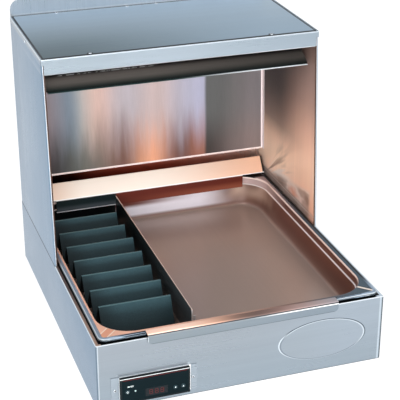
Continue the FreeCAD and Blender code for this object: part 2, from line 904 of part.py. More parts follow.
def control_bezel():
    """The head in front of its plate and the narrower body that passes through plate and base."""
    head = control_rect(0, bezel_front, -plate_thickness)
    body = control_rect(control_body_inset, -plate_thickness, bezel_back)
    hollow = control_rect(control_body_inset + control_body_wall, bezel_front + control_front_wall,
                          bezel_back + overrun)
    recess = control_rect(overlay_border, bezel_front - overrun, overlay_back)
    window = control_rect(overlay_border + overlay_ledge, bezel_front - overrun, 0)
    return join([head, body]).cut([hollow, recess, window])


def control_plate():
    w = control_half_width + plate_side
    h = control_half_height
    plate = box(control_centre_x - w, control_centre_x + w, -plate_thickness, 0,
                control_centre_z - h, control_centre_z + h)
    window = control_rect(control_body_inset - control_cut_gap, -overrun, overrun)
    return drill(plate.cut(window), plate_screws)


def control_overlay():
    sheet_solid = control_rect(overlay_border + seam, overlay_front, overlay_back)
    cuts = [round_bore(u, v, button_radius + button_gap, overlay_front - overrun, overlay_back + overrun)
            for u, v in button_places.values()]
    cuts.append(round_bore(lamp_u, -button_row_drop, lamp_radius + lamp_gap,
                           overlay_front - overrun, overlay_back + overrun))
    cuts.append(readout_block(readout_gap, overlay_front - overrun, overlay_back + overrun))
    return sheet_solid.cut(cuts)


def push_button(u, v):
    front = bezel_front - button_proud + overlay_setback
    return round_bore(u, v, button_radius, front, front + button_length)


def control_board():
    inset = control_body_inset + control_body_wall + board_gap
    board = control_rect(inset, board_front, board_back)
    rear = bezel_front - button_proud + overlay_setback + button_length
    switches = [round_bore(u, v, switch_radius, rear + button_travel + switch_gap, board_front)
                for u, v in button_places.values()]
    stem = round_bore(lamp_u, -button_row_drop, lamp_radius / 2, overlay_back, board_front)
    digits = readout_block(-readout_half_height / 2, overlay_back + seam, board_front)
    return join([board, stem, digits] + switches)


keep("control_bezel", control_bezel())
keep("control_plate", control_plate())
keep("control_overlay", control_overlay())
keep("readout_window", readout_block(0, overlay_front, overlay_back))
keep("control_board", control_board())
keep("indicator_lamp", round_bore(lamp_u, -button_row_drop, lamp_radius, overlay_front - overlay_setback,
                                  overlay_back))
for button_name, (button_u, button_v) in button_places.items():
    keep(button_name, push_button(button_u, button_v))


# Electrical parts in the base

floor_top = 2 * sheet
board_top = floor_top + standoff_height + board_sheet
terminal_y = depth - terminal_back_inset


def board_standoffs():
    posts = []
    for sx in (-1, 1):
        for sy in (-1, 1):
            x = power_board_x + sx * (power_board_width / 2 - standoff_inset)
            y = power_board_y + sy * (power_board_depth / 2 - standoff_inset)
            posts.append(cylinder(standoff_radius, vector(x, y, floor_top), up, standoff_height))
    return posts


def block_on(x, y, w, d, z0, height):
    """An upright block centred on a place."""
    return box(x - w / 2, x + w / 2, y - d / 2, y + d / 2, z0, z0 + height)


def power_board():
    board = block_on(power_board_x, power_board_y, power_board_width, power_board_depth,
                     floor_top + standoff_height, board_sheet)
    left = power_board_x - power_board_width / 2 + part_margin
    front = power_board_y - power_board_depth / 2 + part_margin
    right = power_board_x + power_board_width / 2 - part_margin
    back = power_board_y + power_board_depth / 2
    parts = [block_on(left + transformer_width / 2, front + transformer_depth / 2, transformer_width,
                      transformer_depth, board_top, transformer_height)]
    for index in range(relay_count):
        x = right - relay_width / 2 - index * (relay_width + part_margin / 2)
        parts.append(block_on(x, front + relay_depth / 2, relay_width, relay_depth, board_top, relay_height))
    for step in (-1, 0, 1):
        parts.append(block_on(power_board_x + step * connector_pitch, back - connector_depth / 2,
                              connector_width, connector_depth, board_top, connector_height))
    return join([board] + parts)


def terminal_block():
    body = block_on(terminal_x, terminal_y, terminal_width, terminal_depth, floor_top, terminal_height)
    ribs = []
    rib_pitch = (terminal_width - terminal_rib) / (terminal_rib_count - 1)
    for index in range(terminal_rib_count):
        x = terminal_x - terminal_width / 2 + terminal_rib / 2 + index * rib_pitch
        ribs.append(block_on(x, terminal_y, terminal_rib, terminal_depth, floor_top + terminal_height,
                             terminal_rib_height))
    return join([body] + ribs)


def cord_gland():
    y0 = back_inner - gland_lock_depth
    lock = cylinder(gland_nut_radius, vector(gland_x, y0, gland_z), vector(0, 1, 0), gland_lock_depth)
    neck = cylinder(gland_neck_radius, vector(gland_x, y0, gland_z), vector(0, 1, 0),
                    gland_lock_depth + sheet + gland_nut_depth)
    nut = cylinder(gland_nut_radius, vector(gland_x, depth, gland_z), vector(0, 1, 0), gland_nut_depth)
    nose = Part.makeCone(gland_neck_radius, (gland_neck_radius + gland_bore_radius) / 2, gland_nose_length,
                         vector(gland_x, depth + gland_nut_depth, gland_z), vector(0, 1, 0))
    bore = cylinder(gland_bore_radius, vector(gland_x, y0 - overrun, gland_z), vector(0, 1, 0),
                    depth)
    return join([lock, neck, nut, nose]).cut(bore)


def base_wires():
    """The mains feed, the blanket's lead and the control's signal lead."""
    board_back_y = power_board_y + power_board_depth / 2
    mains_x = power_board_x - connector_pitch
    signal_x = power_board_x + connector_pitch
    signal_y = board_back_y - connector_depth / 2
    wire_z = board_top + connector_height / 2
    feed_z = floor_top + terminal_height / 2
    feed_y = terminal_y - terminal_depth / 2
    mains = tube([(terminal_x, feed_y, feed_z), (terminal_x, feed_y - 2 * harness_bend, feed_z),
                  (mains_x, board_back_y + 2 * harness_bend, wire_z), (mains_x, board_back_y, wire_z)],
                 harness_radius, harness_bend)
    blanket = tube([(blanket_lead_x, board_back_y, wire_z), (blanket_lead_x, blanket_lead_y, wire_z),
                    (blanket_lead_x, blanket_lead_y, blanket_under)], harness_radius, harness_bend)
    signal = tube([(signal_x, board_back, control_centre_z), (signal_x, signal_y, control_centre_z),
                   (signal_x, signal_y, board_top + connector_height)], wire_radius, wire_bend)
    return [mains, blanket, signal]


def heater_lead(side):
    """One lead from the terminal block, up behind the inner wall and down to a rod end."""
    x0 = riser_x + side * (wire_radius + wire_gap)
    roof_z = (ceiling_height + liner_sheet + lid_under - sheet) / 2
    start_z = floor_top + terminal_height / 2
    return tube([(x0, terminal_y + terminal_depth / 2, start_z), (x0, riser_y, start_z),
                 (x0, riser_y, roof_z), (x0, rod_y, roof_z), (side * lead_x, rod_y, roof_z),
                 (side * lead_x, rod_y, rod_height + rod_radius)], wire_radius, wire_bend)


keep("board_standoffs", *board_standoffs())
keep("power_board", power_board())
keep("terminal_block", terminal_block())
keep("cord_gland", cord_gland())
keep("base_wires", *base_wires())
keep("heater_leads", heater_lead(-1), heater_lead(1))
keep("limit_thermostat", cylinder(thermostat_radius, vector(thermostat_x, sensor_y,
                                                            tray_under - thermostat_height), up,
                                  thermostat_height))
keep("temperature_sensor", cylinder(sensor_radius, vector(sensor_x, sensor_y, tray_under - sensor_tail), up,
                                    blanket_under - tray_under + sensor_tail))

# Screws
keep("roof_screws", *[screw(*place) for place in front_screws + back_screws])
keep("cap_screws", *[screw(*place) for place in cap_screws])
keep("control_screws", *[screw(*place) for place in plate_screws])
keep("back_screws", *[screw(*place) for place in base_back_screws + upper_back_screws])

# The footprint runs from the control's proud buttons to the gland's nose.
front_reach = control_proud + button_proud - overlay_setback
back_reach = depth + gland_nut_depth + gland_nose_length
origin_shift = vector(0, (front_reach - back_reach) / 2, 0)

os.makedirs("parts", exist_ok=True)
for piece_name, piece in pieces.items():
    piece.translate(origin_shift)
    piece.exportStep("parts/" + piece_name + ".step")
    state = "ok" if piece.isValid() and piece.Volume > 0 else "BAD"
    print(piece_name, state, len(piece.Solids), round(piece.Volume))
print("pieces", len(pieces), "origin shift", round(origin_shift.y, 3))
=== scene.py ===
import bmesh
import bpy
import math
import numpy as np
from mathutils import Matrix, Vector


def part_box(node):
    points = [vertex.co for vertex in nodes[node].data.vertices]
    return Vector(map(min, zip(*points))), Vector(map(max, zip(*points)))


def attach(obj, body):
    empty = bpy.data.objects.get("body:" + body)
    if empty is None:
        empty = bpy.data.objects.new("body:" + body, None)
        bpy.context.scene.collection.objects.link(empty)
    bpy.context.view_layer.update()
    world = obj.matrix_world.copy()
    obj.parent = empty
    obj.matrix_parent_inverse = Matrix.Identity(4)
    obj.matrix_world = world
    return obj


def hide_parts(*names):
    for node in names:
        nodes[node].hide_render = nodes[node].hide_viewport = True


# Countertop chip warmer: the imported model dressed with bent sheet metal, fittings and finishes.
# Shapes are written in millimetres with x = 0 on the middle plane, y = 0 on the front face of the
# base and z = 0 on the counter, and are moved to the frame's place when their mesh is made.

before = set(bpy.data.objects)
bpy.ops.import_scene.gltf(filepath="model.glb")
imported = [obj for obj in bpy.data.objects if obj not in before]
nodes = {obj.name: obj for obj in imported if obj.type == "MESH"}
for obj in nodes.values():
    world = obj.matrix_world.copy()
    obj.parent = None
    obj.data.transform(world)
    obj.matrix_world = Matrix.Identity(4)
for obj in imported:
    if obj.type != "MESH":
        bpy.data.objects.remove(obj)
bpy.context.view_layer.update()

MM = 0.001
DEPTH = 610.0
FRONT_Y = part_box("base_back_panel")[1].y - DEPTH * MM

HALF = 266.5
BASE_TOP = 130.0
RIM = 138.0
FLANGE = 136.4
PAN_FLOOR = 73.0
HEADER_FOOT = 497.5
ROOF = 527.0
LID = 526.8
SHEET = 1.2
SCREW_X, SCREW_Y = 174.5, 337.0
CONTROL_X, CONTROL_Z = -165.5, 36.5
CONTROL_HALF_WIDTH, CONTROL_HALF_HEIGHT = 63.0, 25.5
BUTTONS = {"power_button": (-50, -2.5), "down_button": (36, -10), "up_button": (50, -10)}
PRINT_DEPTHS = (-7.86, -7.7)
SIGN_DEPTHS = (-8.72, -8.4)
OVAL_X, OVAL_Z, OVAL_HALF_WIDTH, OVAL_HALF_HEIGHT = 148.5, 64.5, 85.2, 40.2


# Shapes

def unit(v):
    """Each vector divided by its own length."""
    return v / np.maximum(np.linalg.norm(v, axis=-1, keepdims=True), 1e-9)


def bent(points, radii, steps=6):
    """A flat line of straight runs whose corners are round bends.

    Each corner is replaced by the arc of its radius that touches both runs. The arc's points are
    the two touching radii mixed by the sines of the remaining and of the passed share of the turn.
    """
    p = np.asarray(points, float)
    r = np.array(np.broadcast_to(np.asarray(radii, float), len(p)))
    r[[0, -1]] = 0
    before = np.concatenate([[2 * p[0] - p[1]], p[:-1]])
    after = np.concatenate([p[1:], [2 * p[-1] - p[-2]]])
    back = unit(before - p)
    ahead = unit(after - p)
    half_turn = (np.pi - np.arccos(np.clip((back * ahead).sum(1), -1, 1))) / 2
    trim = (r * np.tan(half_turn))[:, None]
    start = p + back * trim
    end = p + ahead * trim
    centre = p + unit(back + ahead) * (r / np.cos(half_turn))[:, None]
    turn = np.maximum(2 * half_turn, 1e-4)[:, None, None]
    share = np.linspace(0, 1, steps)[None, :, None]
    arc = (centre[:, None]
           + (start - centre)[:, None] * np.sin((1 - share) * turn) / np.sin(turn)
           + (end - centre)[:, None] * np.sin(share * turn) / np.sin(turn))
    line = arc.reshape(-1, 2)
    fresh = np.linalg.norm(np.diff(line, axis=0), axis=1) > 1e-4
    return line[np.concatenate([[True], fresh])]


def grid_of(x, y, z):
    """A grid of points from three arrays, each spread over the rows or columns that it lacks."""
    return np.stack(np.broadcast_arrays(x, y, z), -1).astype(float)


def upright(values):
    """A list of numbers as a column, one per row of a grid."""
    return np.asarray(values, float)[:, None]


def along_x(section, xs):
    """A (y, z) section carried straight along x: one copy of the section at each x."""
    y, z = np.asarray(section, float).T
    return grid_of(upright(xs), y, z)


def rings(x0, x1, y0, y1, radius, arc=12, marks=()):
    """Rectangles with round corners, one per entry, as rows of (x, y) points.

    A row runs counterclockwise from the low-y end of the high-x corner. Each corner is a quarter
    circle about its centre, and marks are the shares along the last straight run that also get a
    point.
    """
    x0, x1, y0, y1, r = np.broadcast_arrays(*[np.atleast_1d(np.asarray(v, float))
                                              for v in (x0, x1, y0, y1, radius)])
    turn = np.linspace(0, np.pi / 2, arc)[None]
    centres = ((x1 - r, y0 + r, -np.pi / 2), (x1 - r, y1 - r, 0), (x0 + r, y1 - r, np.pi / 2),
               (x0 + r, y0 + r, np.pi))
    corners = [np.stack([cx[:, None] + r[:, None] * np.cos(a + turn),
                         cy[:, None] + r[:, None] * np.sin(a + turn)], -1) for cx, cy, a in centres]
    t = np.asarray(marks, float)[None, :, None]
    last = corners[3][:, -1:] * (1 - t) + corners[0][:, :1] * t
    return np.concatenate(corners + [last], 1)


def at_height(loops, z):
    """Rows of (x, y) points given one height per row."""
    return grid_of(loops[..., 0], loops[..., 1], upright(z))


def facing_front(loops, y):
    """Rows of (x, z) points stood upright, with one y per row."""
    return grid_of(loops[..., 0], upright(y), loops[..., 1])


def tube(path, half_width, half_height, sides=24):
    """A bar along a level (x, y, z) path: ellipses in the plane of the path's side and of up."""
    p = np.asarray(path, float)
    run = unit(np.gradient(p[:, :2], axis=0))
    side = np.stack([run[:, 1], -run[:, 0], np.zeros(len(p))], -1)
    a = np.linspace(0, 2 * np.pi, sides, endpoint=False)[None, :, None]
    return (p[:, None] + half_width * np.cos(a) * side[:, None]
            + half_height * np.sin(a) * np.array([0, 0, 1.0]))


def turned(profile, centre, axis, sides=28):
    """A (radius, height) profile turned about an axis: each point goes round its own circle."""
    p = np.asarray(profile, float)
    out = unit(np.asarray(axis, float))
    first = unit(np.cross(out, [0.0, 0.0, 1.0] if abs(out[2]) < 0.9 else [0.0, 1.0, 0.0]))
    second = np.cross(out, first)
    a = np.linspace(0, 2 * np.pi, sides, endpoint=False)
    circle = np.cos(a)[:, None] * first + np.sin(a)[:, None] * second
    return np.asarray(centre, float) + p[:, None, :1] * circle[None] + p[:, None, 1:] * out


def patch(points, wrap_u=False, wrap_v=False, keep=None, flip=False):
    """The vertices and four-sided faces of a surface given on a grid of two parameters."""
    n, m = points.shape[:2]
    index = np.arange(n * m).reshape(n, m)
    if wrap_u:
        index = np.concatenate([index, index[:1]], 0)
    if wrap_v:
        index = np.concatenate([index, index[:, :1]], 1)
    quads = np.stack([index[:-1, :-1], index[1:, :-1], index[1:, 1:], index[:-1, 1:]], -1)
    quads = quads.reshape(-1, 4) if keep is None else quads[keep]
    if flip:
        quads = quads[:, ::-1]
    return points.reshape(-1, 3), quads.tolist()


def cover(loop):
    """One flat face over a closed loop."""
    return np.asarray(loop, float), [list(range(len(loop)))]


def solid(rows):
    """A closed form from a stack of closed loops, with a cover on the first and the last."""
    return [patch(rows, wrap_v=True), cover(rows[0]), cover(rows[-1])]


def block(x0, x1, y0, y1, z0, z1):
    """A flat bar between two corners, from two level loops."""
    return solid(at_height(rings([x0, x0], [x1, x1], [y0, y0], [y1, y1], 0.0, arc=2), [z0, z1]))


def placed(name, data):
    """An object put in the scene."""
    made = bpy.data.objects.new(name, data)
    bpy.context.scene.collection.objects.link(made)
    return made


def piece(name, parts, material, body, stands_for=(), closed=False, thickness=0.0, bevel=0.0,
          sharp=32.0, uv=None):
    """One object from surface patches in millimetres.

    Points that fall together are merged. An open sheet gets its thickness behind its outward faces,
    and a small bevel rounds the cut edges.
    """
    verts, faces, base = [], [], 0
    for points, quads in parts:
        verts.append(points)
        faces.extend([[base + i for i in face] for face in quads])
        base += len(points)
    co = np.concatenate(verts) * MM
    co[:, 1] += FRONT_Y
    mesh = bpy.data.meshes.new(name)
    mesh.from_pydata(co.tolist(), [], faces)
    if uv is not None:
        attribute = mesh.attributes.new("spread", "FLOAT2", "POINT")
        attribute.data.foreach_set("vector", np.asarray(uv, np.float32).ravel())
    work = bmesh.new()
    work.from_mesh(mesh)
    bmesh.ops.remove_doubles(work, verts=work.verts, dist=2e-6)
    bmesh.ops.dissolve_degenerate(work, edges=work.edges, dist=1e-6)
    if closed:
        bmesh.ops.recalc_face_normals(work, faces=work.faces)
    work.to_mesh(mesh)
    work.free()
    mesh.shade_smooth()
    mesh.set_sharp_from_angle(angle=math.radians(sharp))
    made = placed(name, mesh)
    if thickness:
        wall = made.modifiers.new("wall", "SOLIDIFY")
        wall.thickness = thickness * MM
        wall.offset = -1.0
        wall.use_even_offset = True
    if bevel:
        edge = made.modifiers.new("edges", "BEVEL")
        edge.width = bevel * MM
        edge.segments = 2
        edge.limit_method = "ANGLE"
        edge.angle_limit = math.radians(40)
        edge.harden_normals = True
    mesh.materials.append(material)
    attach(made, body)
    if stands_for:
        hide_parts(*stands_for)
    return made


# Wiring of materials

class Signal:
    """A value that varies over a piece: a node's output, with sums that make further nodes."""

    def __init__(self, socket):
        self.socket = socket

    def __abs__(self):
        return calc("ABSOLUTE", self)

    def __add__(self, other):
        return calc("ADD", self, other)

    def __sub__(self, other):
        return calc("SUBTRACT", self, other)

    def __rsub__(self, other):
        return calc("SUBTRACT", other, self)

    def __mul__(self, other):
        return calc("MULTIPLY", self, other)


def plug(node, inputs):
    """Each named input of a node, linked to a signal or set to a plain value."""
    for key, value in inputs.items():
        if isinstance(value, Signal):
            value.socket.id_data.links.new(value.socket, node.inputs[key])
        else:
            node.inputs[key].default_value = value


def add(tree, kind, inputs=None, **settings):
    """One node with its settings and its inputs."""
    node = tree.nodes.new(kind)
    for key, value in settings.items():
        setattr(node, key, value)
    plug(node, inputs or {})
    return node


def source(tree, kind, output=0, inputs=None, **settings):
    """One output of a new node."""
    return Signal(add(tree, kind, inputs, **settings).outputs[output])


def effect(kind, inputs, output=0, **settings):
    """One output of a new node in the tree of its first signal."""
    tree = next(value.socket.id_data for value in inputs.values() if isinstance(value, Signal))
    return source(tree, kind, output, inputs, **settings)


def new_material(name):
    """An empty material with its shader, and the tree that they stand in."""
    made = bpy.data.materials.new(name)
    made.use_nodes = True
    return made, made.node_tree, made.node_tree.nodes["Principled BSDF"]


def place_of(tree):
    """The point on the piece, in metres."""
    return source(tree, "ShaderNodeTexCoord", "Object")


def stored_place(beside):
    """The two numbers that a piece stores at its points, in the tree of another signal."""
    return source(beside.socket.id_data, "ShaderNodeAttribute", "Vector", attribute_name="spread")


def parts_of(vector):
    """The three numbers of a vector."""
    split = effect("ShaderNodeSeparateXYZ", {"Vector": vector}).socket.node
    return [Signal(output) for output in split.outputs]


def stretched(vector, factors):
    """A vector with each of its numbers multiplied by a factor of its own."""
    return effect("ShaderNodeVectorMath", {0: vector, 1: factors}, operation="MULTIPLY")


def noise(place, scale, detail, roughness=0.5):
    """Soft noise at a place, about 0.5."""
    return effect("ShaderNodeTexNoise", {"Vector": place, "Scale": scale, "Detail": detail,
                                         "Roughness": roughness}, "Fac")


def bump(height, strength, distance, invert=False):
    """The shader's normal tilted by a relief."""
    return effect("ShaderNodeBump", {"Height": height, "Strength": strength, "Distance": distance},
                  "Normal", invert=invert)


def calc(kind, *values):
    """One sum on numbers."""
    return effect("ShaderNodeMath", dict(enumerate(values)), operation=kind)


def highest(first, *others):
    """The highest of a few numbers."""
    for other in others:
        first = calc("MAXIMUM", first, other)
    return first


def lowest(first, second):
    """The lower of two numbers."""
    return calc("MINIMUM", first, second)


def distance(u, v):
    """The root of the sum of two squares."""
    return calc("SQRT", u * u + v * v)


def sweep(value, low, high, to_low=0.0, to_high=1.0, smooth=True):
    """A value carried from one span to another, held at its ends."""
    return effect("ShaderNodeMapRange", {"Value": value, "From Min": low, "From Max": high,
                                         "To Min": to_low, "To Max": to_high}, "Result",
                  interpolation_type="SMOOTHSTEP" if smooth else "LINEAR")


def band(value, low, high, soft):
    """One between two limits and nought outside them, with soft edges."""
    return sweep(value, low - soft, low + soft) * sweep(value, high + soft, high - soft)


def linear(colour):
    """A screen colour from 0 to 255 as a linear one with full cover."""
    c = np.array(colour) / 255
    return *(float(v) for v in np.where(c <= 0.04045, c / 12.92, ((c + 0.055) / 1.055) ** 2.4)), 1.0


def mix(share, first, second, kind="MIX"):
    """Two colours mixed by a share; a colour that doesn't vary is a screen colour."""
    first, second = [c if isinstance(c, Signal) else linear(c) for c in (first, second)]
    return effect("ShaderNodeMix", {0: share, 6: first, 7: second}, 2, data_type="RGBA",
                  blend_type=kind)


def scale_colour(colour, amount):
    """A colour times a varying amount."""
    grey = effect("ShaderNodeCombineColor", {"Red": amount, "Green": amount, "Blue": amount})
    return mix(1.0, colour, grey, "MULTIPLY")


def shades(value, stops, convert=linear):
    """A colour read from a value between a few stops of screen colours."""
    colour = effect("ShaderNodeValToRGB", {"Fac": value}, "Color")
    ramp = colour.socket.node.color_ramp
    ramp.interpolation = "B_SPLINE" if len(stops) > 4 else "EASE"
    while len(ramp.elements) < len(stops):
        ramp.elements.new(0.5)
    for element, (position, shade) in zip(ramp.elements, stops):
        element.position = position
        element.color = convert(shade)
    return colour


def shades_along(value, low, high, stops):
    """A colour read from the share of a value between two limits."""
    return shades(sweep(value, low, high, smooth=False), stops)


# Shared effects

def new_group(name, ins, outs):
    """An empty node group with named sockets, as its signals coming in and its output node."""
    group = bpy.data.node_groups.new(name, "ShaderNodeTree")
    for label in ins:
        group.interface.new_socket(label, in_out="INPUT", socket_type="NodeSocketVector")
    for label in outs:
        group.interface.new_socket(label, in_out="OUTPUT", socket_type="NodeSocketFloat")
    entry = group.nodes.new("NodeGroupInput")
    end = group.nodes.new("NodeGroupOutput")
    return group, [Signal(entry.outputs[label]) for label in ins], end


def brushed_group():
    """Fine polishing lines and their broader bands: noise on a stretched place."""
    group, (place, stretch), end = new_group("polishing_lines", ("Place", "Stretch"),
                                             ("Lines", "Bands"))
    place = stretched(place, stretch)
    plug(end, {"Lines": noise(place, 1.0, 4.0, 0.65), "Bands": noise(place, 0.07, 2.0)})
    return group


def handling_group():
    """Wiped smears and faint finger marks: two sizes of soft noise brought to 0 to 1."""
    group, (place,), end = new_group("handling_marks", ("Place",), ("Smears", "Spots"))
    plug(end, {"Smears": sweep(noise(place, 6.0, 3.0), 0.35, 0.65),
               "Spots": sweep(noise(place, 70.0, 2.0), 0.55, 0.75)})
    return group


BRUSHED = brushed_group()
HANDLED = handling_group()


def shared(tree, group, inputs):
    """The outputs of a shared effect."""
    node = add(tree, "ShaderNodeGroup", inputs, node_tree=group)
    return [Signal(output) for output in node.outputs]


def brushed_metal(name, paint, stretch, metallic=0.9, roughness=0.3, contrast=0.10, relief=0.00004,
                  play=0.055):
    """Brushed sheet: a tone varied by polishing lines and by handling, with the lines' relief."""
    made, tree, shader = new_material(name)
    place = place_of(tree)
    lines, bands = shared(tree, BRUSHED, {"Place": place, "Stretch": stretch})
    smears, spots = shared(tree, HANDLED, {"Place": place})
    fine = sweep(lines, 0.25, 0.75, 1 - contrast, 1 + contrast, smooth=False)
    broad = sweep(bands, 0.3, 0.7, 1 - contrast * 0.5, 1 + contrast * 0.5)
    tone = paint(place) if callable(paint) else paint
    rough = sweep(lines, 0.2, 0.8, roughness - play, roughness + play)
    rough = calc("MULTIPLY_ADD", smears, 0.03, rough)
    plug(shader, {"Base Color": scale_colour(scale_colour(tone, fine), broad),
                  "Roughness": calc("MULTIPLY_ADD", spots, 0.03, rough),
                  "Metallic": metallic(place) if callable(metallic) else metallic,
                  "Normal": bump(lines, 0.35, relief)})
    return made


def moulded(name, paint, roughness=0.4, grain=900.0, relief=0.00005, coat=0.0, specular=0.5):
    """Moulded plastic or coated metal: a fine grain with soft handling marks."""
    made, tree, shader = new_material(name)
    place = place_of(tree)
    grains = noise(place, grain, 3.0)
    smears, _ = shared(tree, HANDLED, {"Place": place})
    fine = sweep(grains, 0.3, 0.7, 0.90, 1.10)
    worn = sweep(smears, 0.0, 1.0, 0.95, 1.06)
    tone = paint(place) if callable(paint) else paint
    plug(shader, {"Base Color": scale_colour(scale_colour(tone, fine), worn),
                  "Roughness": calc("MULTIPLY_ADD", smears, 0.06, roughness),
                  "Normal": bump(grains, 0.3, relief),
                  "Coat Weight": coat, "Specular IOR Level": specular})
    return made


def screw_finish():
    """Bright steel with painted shade in a cross recess, drawn from the place on the head."""
    made, tree, shader = new_material("screw_head_steel")
    place = place_of(tree)
    u, v, _ = parts_of(stored_place(place))
    across, along = abs(u), abs(v)
    recess = highest(*(sweep(wide, 0.62, 0.42) * sweep(tall, 2.0, 1.7)
                       for wide, tall in ((across, along), (along, across))))
    tone = mix(noise(place, 900.0, 2.0), (206, 214, 222), (232, 238, 244))
    # Painted shade in the cross recess, which is only a bump.
    plug(shader, {"Base Color": mix(recess, tone, (30, 32, 36)),
                  "Roughness": sweep(recess, 0.0, 1.0, 0.22, 0.6), "Metallic": 0.9,
                  "Normal": bump(recess, 0.9, 0.0004, invert=True)})
    return made


# Finishes

ALONG_X = (3.0, 700.0, 700.0)
ALONG_Y = (700.0, 3.0, 700.0)
UPRIGHT = (700.0, 700.0, 3.0)


def wrapper_tone(place):
    """Sides painted darker and cooler than the front as their light falls, painted highlights and
    dark reflections along the bends, a ledge beside the pan painted with warm and pale reflections
    and shade.
    """
    x, y, z = parts_of(place)
    depth = y - FRONT_Y
    reach = abs(x)
    front = mix(sweep(x, -0.05, 0.25), (150, 158, 166), (158, 169, 180))
    front = mix(sweep(z, 0.0, 0.12), (150, 162, 172), front)
    # Painted lighter strip above the control, cancelling the bezel's dark reflection on the front.
    above = band(z, 0.0624, 0.0668, 0.0012)
    painted_light_over_control = above * band(x, CONTROL_X * MM - 0.066, CONTROL_X * MM + 0.064, 0.003)
    front = mix(painted_light_over_control * 0.6, front, (206, 216, 226))
    # The sides are painted darker and cooler than the front, as their light falls.
    side = mix(sweep(y, -0.3, 0.3), (117, 141, 164), (130, 151, 172))
    face = mix(sweep(reach, 0.2655, 0.2645), side, front)
    # Painted highlight and dark reflection lines along the front's vertical bends, painted shade
    # along the bottom edge, a painted highlight on the top bend.
    at_front = sweep(depth, 0.0034, 0.0026)
    light = band(x, 0.2588, 0.262, 0.0004) * at_front
    face = mix(light, face, (190, 202, 212))
    edge = band(x, -0.2642, -0.2626, 0.0003) * at_front
    face = mix(edge, face, (196, 206, 214))
    edge = sweep(x, -0.2644, -0.2649) * at_front
    face = mix(edge, face, (112, 130, 146))
    dark = highest(sweep(x, 0.2628, 0.2636) * at_front, sweep(z, 0.0022, 0.0012) * at_front)
    face = mix(dark, face, (78, 90, 98))
    face = mix(sweep(z, 0.1284, 0.1289), face, (236, 242, 247))
    seam = sweep(depth, 0.3, 0.304) * sweep(z, 0.1278, 0.1284)
    face = mix(seam, face, (52, 62, 72))
    # The ledge beside the pan: painted warm reflection at the left side, painted pale reflection at
    # the right side, painted shade at the front and under the rolled edge.
    inward = lowest(HALF * MM - reach, depth)
    warm = mix(sweep(depth, 0.02, 0.22), (240, 202, 182), (140, 122, 116))
    ledge = mix(sweep(x, -0.2575, -0.2555), warm, (20, 25, 30))
    ledge = mix(sweep(x, 0.25, 0.256), ledge, (222, 234, 244))
    ledge = mix(sweep(inward, 0.0056, 0.0066), ledge, (24, 26, 30))
    over = sweep(z, 0.1294, 0.1299) * sweep(inward, 0.0012, 0.0018)
    return mix(over, face, ledge)


def painted_cavity_shade_and_reflection(x):
    """Painted shade and warm reflection behind the ramp: black at the left, dark red in the middle,
    paler at the right.
    """
    return shades_along(x, -0.26, 0.26, [(0.0, (12, 9, 9)), (0.2, (16, 10, 10)),
                                         (0.31, (200, 100, 78)), (0.55, (225, 118, 92)),
                                         (0.7, (240, 160, 138)), (0.85, (255, 212, 200)),
                                         (1.0, (255, 236, 230))])


def side_tone(place):
    """Cool outside, a painted highlight on the front hem with a painted dark reflection at its
    inner edge, the cavity's painted shade and reflection on the flange.
    """
    x, y, z = parts_of(place)
    reach = abs(x)
    face = mix(sweep(z, 0.13, 0.52), (127, 151, 174), (121, 146, 169))
    # Painted highlight on the front hem, with a painted dark reflection of the inside along its
    # inner edge.
    near = sweep(y, 0.08, 0.06)
    hem = mix(sweep(reach, 0.2628, 0.2634), (84, 66, 60), (226, 231, 235))
    face = mix(near * sweep(reach, 0.2647, 0.2641), face, hem)
    # The rear flange gets the painted shade and reflection seen behind the ramp.
    behind = sweep(y, 0.28, 0.29) * sweep(reach, 0.264, 0.2636) * sweep(z, 0.3, 0.25)
    return mix(behind, face, painted_cavity_shade_and_reflection(x))


def header_tone(place):
    """The header face, with a painted highlight along its lower bend and another along its upper
    edge.
    """
    x, _, z = parts_of(place)
    face = mix(sweep(x, -0.25, -0.02), (156, 168, 177), (166, 178, 188))
    face = mix(sweep(x, -0.05, 0.27), face, (158, 171, 182))
    # Painted highlights along the lower bend and the upper edge.
    face = mix(sweep(z, 0.4992, 0.4984), face, (214, 222, 228))
    return mix(sweep(z, 0.5244, 0.525), face, (208, 218, 226))


def roof_tone(place):
    """Painted darker at the front left as its reflection falls, with a painted shadow in the groove
    round the lid and round its screws.
    """
    x, y, _ = parts_of(place)
    reach = abs(x)
    # The field's painted reflection: darker at the front left, paler to the rear.
    across = mix(sweep(x, -0.27, 0.22), (98, 117, 124), (168, 190, 207))
    field = mix(sweep(y, 0.02, 0.3), across, (188, 206, 220))
    from_screw = distance(reach - SCREW_X * MM, y - (FRONT_Y + SCREW_Y * MM))
    # Painted shadow in the groove round the lid and in rings round the screws.
    groove = highest(sweep(reach, 0.2592, 0.2604), sweep(y, 0.03, 0.0284),
                     sweep(y, 0.2985, 0.3), sweep(from_screw, 0.0066, 0.0056))
    return mix(groove, field, (36, 44, 50))


def back_tone(place):
    """Painted pale on the upstand's front where the light falls, plainer behind; low on the inner
    face a painted reflection of the dark and the red.
    """
    x, y, z = parts_of(place)
    # Low on the inner face: the painted shade and reflection seen behind the ramp.
    low = sweep(y, 0.3029, 0.3023) * sweep(z, 0.3, 0.25)
    # The front face is painted paler than the outer rear face, as the light falls.
    plain = mix(sweep(z, 0.532, 0.5296), (220, 228, 236), (240, 244, 248))
    plain = mix(sweep(y, 0.3024, 0.303), plain, (150, 161, 171))
    return mix(low, plain, painted_cavity_shade_and_reflection(x))


